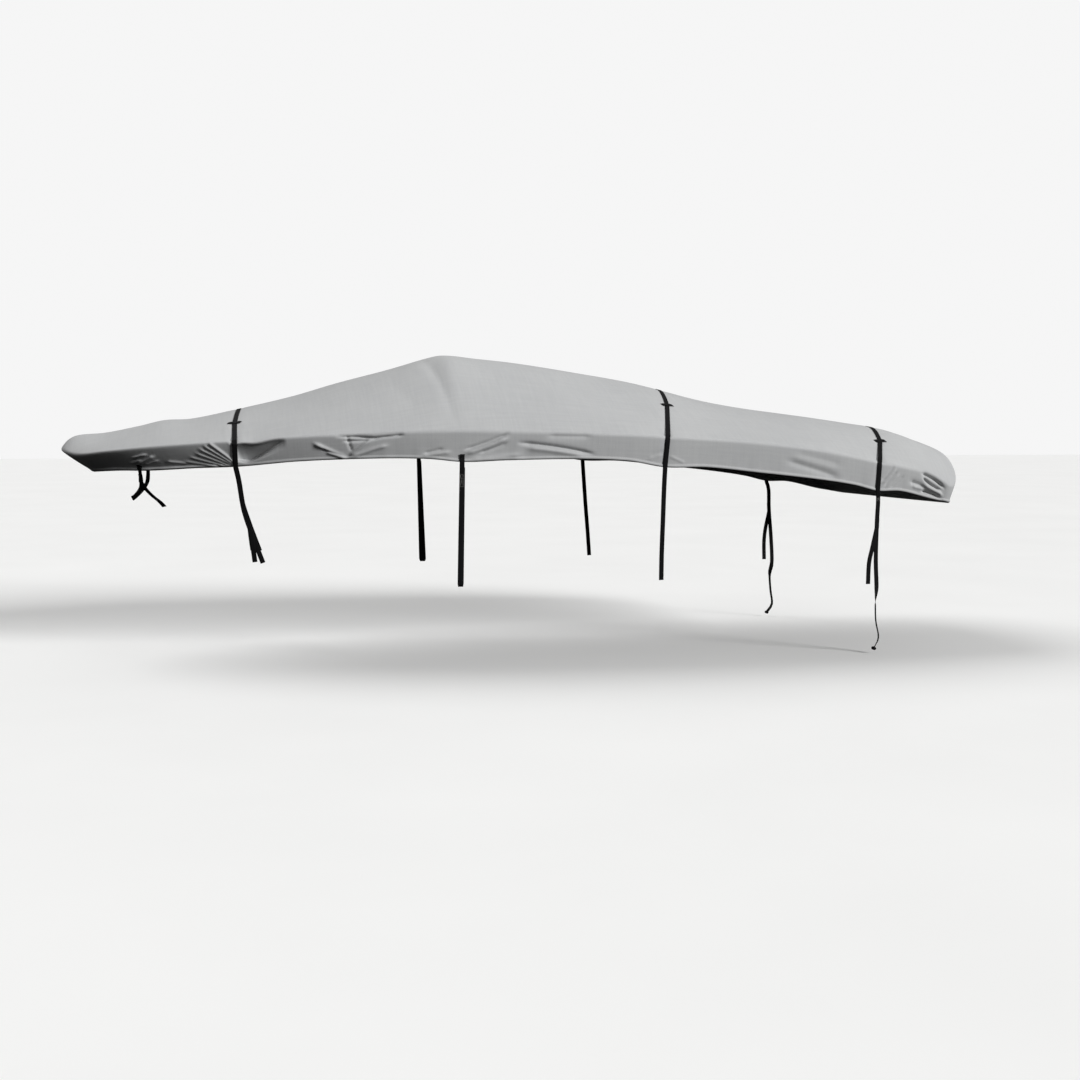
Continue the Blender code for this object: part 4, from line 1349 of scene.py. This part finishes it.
def add(tree, kind, settings=None, inputs=None):
    """Adds a node. Inputs are values, or (node, output) pairs to link from."""
    made = tree.nodes.new(kind)
    for name, value in (settings or {}).items():
        setattr(made, name, value)
    for name, value in (inputs or {}).items():
        if isinstance(value, tuple) and isinstance(value[0], bpy.types.Node):
            tree.links.new(value[0].outputs[value[1]], made.inputs[name])
        else:
            made.inputs[name].default_value = value
    return made


def new_material(name, roughness, sheen=0.0):
    """A material with its tree and shader."""
    material = bpy.data.materials.new(name)
    material.use_nodes = True
    shader = material.node_tree.nodes["Principled BSDF"]
    shader.inputs["Roughness"].default_value = roughness
    shader.inputs["Metallic"].default_value = 0.0
    shader.inputs["IOR"].default_value = CLOTH_IOR
    shader.inputs["Sheen Weight"].default_value = sheen
    return material, material.node_tree, shader


def mixed(tree, kind, factor, a, b):
    """A mix of two numbers (kind FLOAT) or of two colours (kind RGBA)."""
    return add(tree, "ShaderNodeMix", {"data_type": kind}, {"Factor": factor, "A": a, "B": b})


def noise(tree, dimensions, vector, scale, detail, roughness):
    """Soft noise at a place."""
    return add(tree, "ShaderNodeTexNoise", {"noise_dimensions": dimensions},
               {"Vector": vector, "Scale": scale, "Detail": detail, "Roughness": roughness})


def between(tree, value, low, high, to_low=0.0, to_high=1.0):
    """A value's place between low and high, as a number between two others."""
    return add(tree, "ShaderNodeMapRange", None,
               {"Value": value, "From Min": low, "From Max": high, "To Min": to_low, "To Max": to_high})


def bumped(tree, height, strength, distance):
    """A bump whose height follows a value."""
    return add(tree, "ShaderNodeBump", None, {"Height": height, "Strength": strength, "Distance": distance})


print("mid grey", [round(v, 3) for v in srgb("B4B5B6")])

# %% [markdown]
# ## Coated polyester canvas
# The cloth is solution dyed polyester in a plain weave, coated on the inside. It is matt, with
# a slight unevenness where threads are thicker, which runs along warp and weft. The threads
# are 0.5 mm apart. The weave is drawn at 5 mm and the thicker threads at 20 mm, as coarse as
# they need to be to show on seven metres of cloth.

# %% Canvas
WEAVE_PITCH = 0.005
SLUB_WIDTH = 0.020
SLUB_LENGTH = 0.350
WEAVE_BUMP = 0.0006
SLUB_BUMP = 0.0030
BAND_PERIOD = math.pi / 10   # period of a Wave texture's bands at scale 1


def plain_weave_canvas(name):
    """Woven polyester canvas, light grey."""
    material, tree, shader = new_material(name, 0.80, sheen=0.05)
    cut = add(tree, "ShaderNodeUVMap", {"uv_map": "cut"})
    place = add(tree, "ShaderNodeTexCoord")

    warp = add(tree, "ShaderNodeTexWave", {"bands_direction": "X"},
               {"Vector": (cut, "UV"), "Scale": BAND_PERIOD / WEAVE_PITCH})
    weft = add(tree, "ShaderNodeTexWave", {"bands_direction": "Y"},
               {"Vector": (cut, "UV"), "Scale": BAND_PERIOD / WEAVE_PITCH})
    over = add(tree, "ShaderNodeTexChecker", None, {"Vector": (cut, "UV"), "Scale": 1 / WEAVE_PITCH})
    weave = mixed(tree, "FLOAT", (over, "Fac"), (warp, "Fac"), (weft, "Fac"))

    slubs = []
    for stretch in ((1 / SLUB_WIDTH, 1 / SLUB_LENGTH, 1.0), (1 / SLUB_LENGTH, 1 / SLUB_WIDTH, 1.0)):
        along = add(tree, "ShaderNodeMapping", None, {"Vector": (cut, "UV"), "Scale": stretch})
        slubs.append(noise(tree, "2D", (along, "Vector"), 1.0, 3.0, 0.6))
    slub = mixed(tree, "FLOAT", 0.5, (slubs[0], "Fac"), (slubs[1], "Fac"))
    cloud = noise(tree, "3D", (place, "Object"), 1.3, 4.0, 0.55)
    tone = mixed(tree, "FLOAT", 0.45, (slub, "Result"), (cloud, "Fac"))
    shade = between(tree, (tone, "Result"), 0.35, 0.65)
    colour = mixed(tree, "RGBA", (shade, "Result"), srgb("A8A9AA"), srgb("B3B4B4"))
    dull = between(tree, (slub, "Result"), 0.3, 0.7, 0.74, 0.88)

    fine = bumped(tree, (weave, "Result"), 0.35, WEAVE_BUMP)
    coarse = bumped(tree, (slub, "Result"), 0.30, SLUB_BUMP)
    tree.links.new(fine.outputs["Normal"], coarse.inputs["Normal"])
    tree.links.new(colour.outputs["Result"], shader.inputs["Base Color"])
    tree.links.new(dull.outputs["Result"], shader.inputs["Roughness"])
    tree.links.new(coarse.outputs["Normal"], shader.inputs["Normal"])
    return material


canvas = plain_weave_canvas("polyester_canvas_plain_weave")
cover_canvas.data.materials.append(canvas)
print("canvas weave drawn at", WEAVE_PITCH * 1000, "mm")

# %% [markdown]
# ## Polypropylene webbing and thread
# Webbing for straps is woven in a herringbone: two halves whose ribs lean towards the middle.
# The distance across from the middle, added to the distance along, gives that chevron. Real
# ribs are 1.5 mm apart, drawn here at 6 mm. The tape of the loops has plain cross ribs. Black
# fibre swallows nearly all light, so its gloss is turned well down.

# %% Webbing, tape and thread
WEBBING_GLOSS = 0.15
RIB_BUMP = 0.0008
THREAD_TWIST = 0.0012


def herringbone_webbing(name, pitch, chevron):
    """Black woven webbing. A chevron of 0 gives plain cross ribs."""
    material, tree, shader = new_material(name, 0.80)
    shader.inputs["Specular IOR Level"].default_value = WEBBING_GLOSS
    cut = add(tree, "ShaderNodeUVMap", {"uv_map": "cut"})
    parts = add(tree, "ShaderNodeSeparateXYZ", None, {"Vector": (cut, "UV")})
    from_middle = add(tree, "ShaderNodeMath", {"operation": "ABSOLUTE"})
    tree.links.new(parts.outputs["X"], from_middle.inputs[0])
    leaning = add(tree, "ShaderNodeMath", {"operation": "MULTIPLY_ADD"})
    tree.links.new(from_middle.outputs["Value"], leaning.inputs[0])
    leaning.inputs[1].default_value = chevron
    tree.links.new(parts.outputs["Y"], leaning.inputs[2])
    turns = add(tree, "ShaderNodeMath", {"operation": "MULTIPLY"})
    tree.links.new(leaning.outputs["Value"], turns.inputs[0])
    turns.inputs[1].default_value = 2 * math.pi / pitch
    rib_wave = add(tree, "ShaderNodeMath", {"operation": "SINE"})
    tree.links.new(turns.outputs["Value"], rib_wave.inputs[0])
    lift = between(tree, (rib_wave, "Value"), -1.0, 1.0)
    fuzz = noise(tree, "2D", (cut, "UV"), 260.0, 3.0, 0.6)
    shade = mixed(tree, "FLOAT", 0.35, (lift, "Result"), (fuzz, "Fac"))
    colour = mixed(tree, "RGBA", (shade, "Result"), srgb("040405"), srgb("0E0E10"))
    bump = bumped(tree, (shade, "Result"), 0.6, RIB_BUMP)
    tree.links.new(colour.outputs["Result"], shader.inputs["Base Color"])
    tree.links.new(bump.outputs["Normal"], shader.inputs["Normal"])
    return material


def spun_thread(name, dark, light):
    """Twisted polyester thread: fine slanting bands of two shades."""
    material, tree, shader = new_material(name, 0.55)
    place = add(tree, "ShaderNodeTexCoord")
    twist = add(tree, "ShaderNodeTexWave", {"bands_direction": "DIAGONAL"},
                {"Vector": (place, "Object"), "Scale": BAND_PERIOD / THREAD_TWIST})
    colour = mixed(tree, "RGBA", (twist, "Fac"), srgb(dark), srgb(light))
    tree.links.new(colour.outputs["Result"], shader.inputs["Base Color"])
    return material


webbing_finish = herringbone_webbing("polypropylene_webbing_herringbone", 0.006, 0.8)
tape_finish = herringbone_webbing("polypropylene_tape_ribbed", 0.004, 0.0)
pale_thread = spun_thread("polyester_thread_pale", "9A9A97", "D6D5D0")
grey_thread = spun_thread("polyester_thread_grey", "6E6F70", "8C8D8E")
dark_thread = spun_thread("polyester_thread_black", "101011", "242527")
for strap in straps:
    strap.piece.data.materials.append(webbing_finish)
for roll in tail_rolls:
    roll.data.materials.append(tape_finish)
for loop in loops:
    loop.piece.data.materials.append(tape_finish)
hem_seam.data.materials.append(grey_thread)
pale_seams.data.materials.append(pale_thread)
dark_seams.data.materials.append(dark_thread)
print("materials:", len(bpy.data.materials))

# %% [markdown]
# ## Floor and light
# The studio has a pale floor where the trailer's wheels would stand, and soft light: a large key
# light over the stern quarter that grazes the skirt, a weaker one beyond the bow, and a dim even
# sky that ends at the horizon. Only the camera sees the white backdrop. The floor throws no light
# up under the cover, where the dark hull and trailer would be, so the skirt at the bow stays as
# deep in shade as it is over a boat.

# %% Floor
FLOOR_BELOW = 0.03
FLOOR_SIZE = 160.0

floor_z = cad_box[0][2] - FLOOR_BELOW
bpy.ops.mesh.primitive_plane_add(size=FLOOR_SIZE, location=(0, 0, floor_z))
floor = bpy.context.object
floor.name = "studio_floor"
bpy.ops.object.transform_apply(location=True, rotation=True, scale=True)
floor.select_set(False)
floor.visible_diffuse = False
floor.visible_glossy = False
floor_finish, floor_tree, floor_shader = new_material("painted_floor", 0.75)
floor_place = add(floor_tree, "ShaderNodeTexCoord")
floor_noise = noise(floor_tree, "3D", (floor_place, "Object"), 0.6, 3.0, 0.5)
floor_colour = mixed(floor_tree, "RGBA", (floor_noise, "Fac"), srgb("F1F1F0"), srgb("F8F8F7"))
floor_tree.links.new(floor_colour.outputs["Result"], floor_shader.inputs["Base Color"])
floor.data.materials.append(floor_finish)

# %% Lights and sky
LIGHT_DISTANCE = 10.0
StudioLight = namedtuple("StudioLight", "name towards strength softness")
LIGHTS = [
    StudioLight("key_light", (0.640, -0.670, 0.376), 3.50, 18.0),
    StudioLight("back_light", (-0.55, 0.35, 0.75), 1.40, 40.0),
]
for light in LIGHTS:
    data = bpy.data.lights.new(light.name, "SUN")
    data.energy = light.strength
    data.angle = math.radians(light.softness)
    lamp = bpy.data.objects.new(light.name, data)
    lamp.location = Vector(light.towards) * LIGHT_DISTANCE
    lamp.rotation_euler = Vector(light.towards).to_track_quat("Z", "Y").to_euler()
    bpy.context.scene.collection.objects.link(lamp)

BACKDROP = 0.92
SKY_LIGHT = 0.25
SKY_ENDS = -0.050           # upward part of a direction: no light comes from below this
SKY_FULL = -0.022
world = bpy.data.worlds.new("studio_sky")
world.use_nodes = True
bpy.context.scene.world = world
sky_tree = world.node_tree
background = sky_tree.nodes["Background"]
direction = add(sky_tree, "ShaderNodeTexCoord")
height = add(sky_tree, "ShaderNodeSeparateXYZ", None, {"Vector": (direction, "Generated")})
above = between(sky_tree, (height, "Z"), SKY_ENDS, SKY_FULL, 0.0, SKY_LIGHT)
ray = add(sky_tree, "ShaderNodeLightPath")
seen = mixed(sky_tree, "FLOAT", (ray, "Is Camera Ray"), (above, "Result"), BACKDROP)
sky_tree.links.new(seen.outputs["Result"], background.inputs["Strength"])
background.inputs["Color"].default_value = (1.0, 1.0, 1.0, 1.0)
bpy.context.scene.view_settings.view_transform = "Standard"
print("floor at", round(floor_z, 3), "m;", len(LIGHTS), "lights")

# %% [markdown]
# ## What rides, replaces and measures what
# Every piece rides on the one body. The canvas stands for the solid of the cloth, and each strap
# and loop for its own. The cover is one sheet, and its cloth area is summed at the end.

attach(cover_canvas, "root")
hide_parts("cover_cloth")
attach(hem_seam, "root")

for strap in straps:
    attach(strap.piece, "root")
    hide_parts(strap.node)
for roll in tail_rolls:
    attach(roll, "root")
for loop in loops:
    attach(loop.piece, "root")
    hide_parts(loop.node)
for seams in (pale_seams, dark_seams):
    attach(seams, "root")

outer_area = sum(polygon.area for polygon in cover_canvas.data.polygons) / 2
print("cloth area", round(outer_area, 2), "m2")
